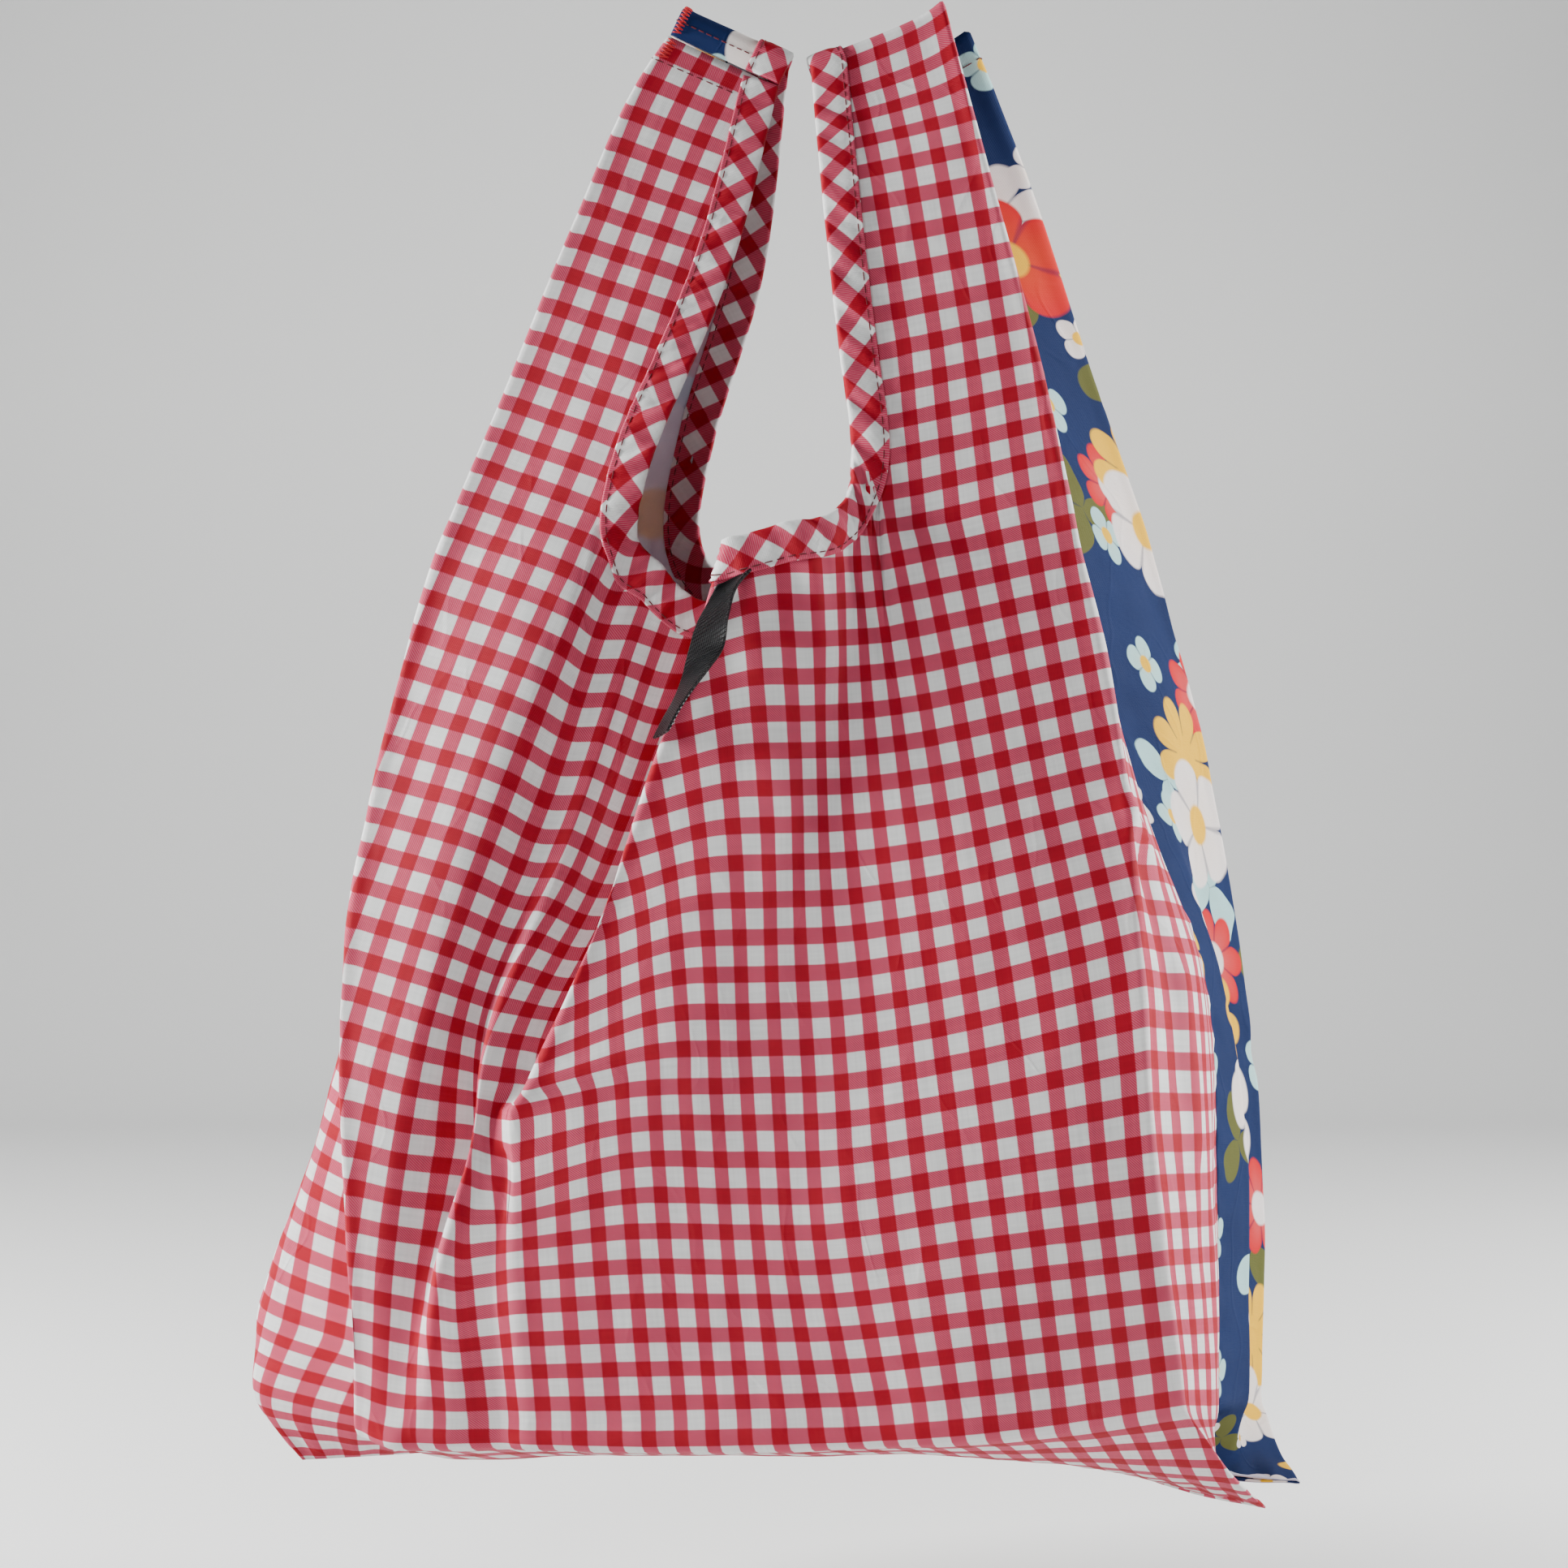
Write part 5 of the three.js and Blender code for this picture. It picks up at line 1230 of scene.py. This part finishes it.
class LUNCHBAG_PG_colours(bpy.types.PropertyGroup):
    """Colours of the cloth, thread and tape"""
    white: colour("Check White", "Undyed part of the checks", (0.86, 0.87, 0.86))
    stripe: colour("Check Stripe", "Checks where one dyed stripe runs", (0.6, 0.038, 0.105))
    crossing: colour("Check Crossing", "Checks where two dyed stripes cross", (0.42, 0.003, 0.018))
    navy: colour("Print Navy", "Ground of the print", tint(18, 36, 78))
    red: colour("Print Red", "Red flowers", tint(214, 20, 34))
    yellow: colour("Print Yellow", "Yellow flowers and flower middles", tint(244, 190, 40))
    warm_white: colour("Print White", "White flowers", tint(240, 232, 228))
    olive: colour("Print Olive", "Leaves", tint(96, 98, 48))
    aqua: colour("Print Aqua", "Small flowers", tint(176, 218, 218))
    lavender: colour("Wrong Side", "Unprinted side of the flowered cloth", tint(208, 206, 224))
    thread: colour("Thread", "Sewing thread", tint(110, 14, 30))
    bartack: colour("Bartack", "Thread of the handle's bartack", tint(200, 24, 36))
    tape: colour("Tape", "Black woven tape", (0.002, 0.002, 0.0025))


class LUNCHBAG_PG_stage(bpy.types.PropertyGroup):
    """Floor, light and camera"""
    floor_drop: bpy.props.FloatProperty(
        name="Floor Drop", description="Floor below the bag's lowest point", default=0.04,
        min=0, max=1, unit="LENGTH")
    floor: colour("Floor", "Colour of the floor and backdrop", (0.8, 0.8, 0.79))
    left_power: amount("Left Light", "Power of the light beside the bag in watts", 48.0, 0, 500)
    right_power: amount("Right Light", "Power of the light behind the bag in watts", 36.0, 0, 500)
    front_power: amount("Front Light", "Power of the weak light in front in watts", 9.5, 0, 500)


def finish_piece(piece, nodes):
    """Binds a piece to the bag's body and hides the solids it stands for."""
    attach(piece, BODY)
    if nodes:
        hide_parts(*nodes)


class LUNCHBAG_OT_front_panel(bpy.types.Operator):
    """Makes the checked front panel"""
    bl_idname = "lunch_bag.front_panel"
    bl_label = "Front Panel"

    def execute(self, context):
        scene = context.scene
        material = checked_material("Checked Cloth", scene.bag_colours, scene.bag_sizes, False)
        piece, flat, area = build_panel("front_cloth", PANELS["front"], scene.bag_sizes, material)
        finish_piece(piece, ["front_panel"])
        return {"FINISHED"}


class LUNCHBAG_OT_back_panel(bpy.types.Operator):
    """Makes the flowered back panel"""
    bl_idname = "lunch_bag.back_panel"
    bl_label = "Back Panel"

    def execute(self, context):
        scene = context.scene
        material = flowered_material("Flowered Cloth", scene.bag_colours)
        piece, flat, area = build_panel("back_cloth", PANELS["back"], scene.bag_sizes, material)
        finish_piece(piece, ["back_panel"])
        return {"FINISHED"}


class LUNCHBAG_OT_bindings(bpy.types.Operator):
    """Makes the two bias bindings of the mouth, with their stitches on both sides"""
    bl_idname = "lunch_bag.bindings"
    bl_label = "Bindings"

    def execute(self, context):
        scene = context.scene
        sizes = scene.bag_sizes
        material = checked_material("Bias Binding", scene.bag_colours, sizes, True)
        thread = thread_material("Sewing Thread", scene.bag_colours.thread)
        lift = sizes.binding_wall * BINDING_HIGH + BINDING_LIFT
        for side, panel in PANELS.items():
            piece, flat = build_binding(side + "_binding", panel, sizes, material)
            u, v, nu, nv, _, spare = binding_frame(panel, SEWING_STEP)
            inset = (sizes.binding_width - sizes.stitch_inset) * spare
            runs = [stitch_run(panel, u + nu * inset, v + nv * inset, lift, sizes, face)
                    for face in (1, -1)]
            stitches = add_threads(side + "_binding_stitches", runs, thread)
            finish_piece(piece, [side + "_mouth_binding"])
            finish_piece(stitches, [])
        return {"FINISHED"}


class LUNCHBAG_OT_handle_seams(bpy.types.Operator):
    """Sews the handle seams and the bartack at the left handle's top"""
    bl_idname = "lunch_bag.handle_seams"
    bl_label = "Handle Seams"

    def execute(self, context):
        scene = context.scene
        runs = []
        for side, panel in PANELS.items():
            for name, sign in (("left", -1), ("right", 1)):
                over = HANDLES[name]["over"] == side
                row = panel_end(panel, name) - (OVER_INSET if over else UNDER_INSET)
                u = sign * np.linspace(*HANDLE_SEAM_U, HANDLE_SEAM_STEPS)
                runs.append(stitch_run(panel, u, np.full_like(u, row), SEAM_LIFT, scene.bag_sizes))
        seams = add_threads("handle_seam_stitches", runs,
                            thread_material("Seam Thread", scene.bag_colours.thread))
        finish_piece(seams, [])
        runs = [bartack_run(PANELS[side], *line) for side, *line in BARTACK]
        tack = add_threads("handle_bartack", runs,
                           thread_material("Bartack Thread", scene.bag_colours.bartack))
        finish_piece(tack, [])
        return {"FINISHED"}


class LUNCHBAG_OT_tape(bpy.types.Operator):
    """Makes the short black tape that hangs from the front binding"""
    bl_idname = "lunch_bag.tape"
    bl_label = "Tape"

    def execute(self, context):
        scene = context.scene
        sizes = scene.bag_sizes
        rows = np.array(TAPE, float)
        run = run_along(rows[:, :3])
        s = np.linspace(0, run[-1], TAPE_ROWS)
        middle, across = np.split(curve_at(run, rows, slopes(run, rows), s), 2, axis=1)
        across = unit(across)
        out = unit(np.cross(unit(np.gradient(middle, axis=0)), across))
        t = np.linspace(-1, 1, TAPE_COLUMNS)
        half = t * sizes.tape_width / 2
        curl = TAPE_CURL * np.cos(s / TAPE_CURL_REACH)[:, None] * t**2
        points = middle[:, None] + across[:, None] * half[:, None] + out[:, None] * curl[..., None]
        uv = np.stack(np.broadcast_arrays(half, s[:, None]), -1).reshape(-1, 2) / CHECK
        both, faces, uv, _ = thick_sheet(*grid_of(points), uv, sizes.tape_thickness, 1)
        piece = add_mesh("woven_tape", both, faces, uv,
                         tape_material("Woven Tape", scene.bag_colours.tape))
        finish_piece(piece, ["tape"])
        return {"FINISHED"}


class LUNCHBAG_OT_stage(bpy.types.Operator):
    """Makes the floor with its curved backdrop, the soft lights and the camera"""
    bl_idname = "lunch_bag.stage"
    bl_label = "Stage"

    def execute(self, context):
        scene, settings = context.scene, context.scene.bag_stage
        low = min(CAD_BOX[0][2], CAD_BOX[1][2]) - settings.floor_drop
        bend = np.linspace(0, np.pi / 2, BEND_ROWS)
        y = np.concatenate([[FLOOR_FRONT], FLOOR_BACK + FLOOR_BEND * np.sin(bend),
                            [FLOOR_BACK + FLOOR_BEND]])
        z = low + np.concatenate([[0], FLOOR_BEND * (1 - np.cos(bend)), [FLOOR_HIGH]])
        x = np.linspace(-FLOOR_HALF, FLOOR_HALF, FLOOR_COLUMNS)
        grid = np.stack(np.broadcast_arrays(x, y[:, None], z[:, None]), -1) / MM
        points, faces = grid_of(grid)
        floor = add_mesh("floor", points, faces, points[:, :2] / CHECK,
                         floor_material("Floor Paper", settings.floor))
        for side, at, aim, size in LIGHTS:
            light = bpy.data.lights.new(side + "_light", "AREA")
            light.size, light.energy = size, getattr(settings, side + "_power")
            lamp = bpy.data.objects.new(side + "_light", light)
            lamp.location = at
            way = Vector(aim) - Vector(at)
            lamp.rotation_euler = way.to_track_quat("-Z", "Y").to_euler()
            scene.collection.objects.link(lamp)
        scene.world = bpy.data.worlds.new("studio")
        scene.world.use_nodes = True
        background = scene.world.node_tree.nodes["Background"]
        background.inputs["Color"].default_value = SKY
        background.inputs["Strength"].default_value = SKY_STRENGTH
        data = bpy.data.cameras.new("camera")
        data.sensor_width, data.lens = SENSOR, SENSOR * FOCAL_PIXELS / IMAGE_PIXELS
        data.clip_start, data.clip_end = NEAREST, FARTHEST
        camera = bpy.data.objects.new("camera", data)
        camera.location = CAMERA_AT
        camera.rotation_euler = (np.pi / 2, 0, 0)
        scene.collection.objects.link(camera)
        scene.camera = camera
        return {"FINISHED"}


class LUNCHBAG_PT_panel(bpy.types.Panel):
    """Lists the bag's pieces and its settings"""
    bl_idname = "LUNCHBAG_PT_panel"
    bl_label = "Lunch Bag"
    bl_space_type = "VIEW_3D"
    bl_region_type = "UI"
    bl_category = "Lunch Bag"

    def draw(self, context):
        for operator in OPERATORS:
            self.layout.operator(operator.bl_idname)
        for settings in (getattr(context.scene, name) for name in SETTINGS):
            for name in type(settings).__annotations__:
                self.layout.prop(settings, name)


SETTINGS = {"bag_sizes": LUNCHBAG_PG_sizes, "bag_colours": LUNCHBAG_PG_colours,
            "bag_stage": LUNCHBAG_PG_stage}
OPERATORS = (LUNCHBAG_OT_stage, LUNCHBAG_OT_front_panel, LUNCHBAG_OT_back_panel,
             LUNCHBAG_OT_bindings, LUNCHBAG_OT_handle_seams, LUNCHBAG_OT_tape)
CLASSES = (*SETTINGS.values(), *OPERATORS, LUNCHBAG_PT_panel)


def register():
    for kind in CLASSES:
        bpy.utils.register_class(kind)
    for name, kind in SETTINGS.items():
        setattr(bpy.types.Scene, name, bpy.props.PointerProperty(type=kind))


def unregister():
    for name in SETTINGS:
        delattr(bpy.types.Scene, name)
    for kind in reversed(CLASSES):
        bpy.utils.unregister_class(kind)


def main():
    register()
    for build in (gingham_group, weave_group, crumple_group, blossom_group):
        build()
    bpy.ops.lunch_bag.stage()
    bpy.ops.lunch_bag.front_panel()
    bpy.ops.lunch_bag.back_panel()
    bpy.ops.lunch_bag.bindings()
    bpy.ops.lunch_bag.handle_seams()
    bpy.ops.lunch_bag.tape()


if __name__ == "__main__":
    main()
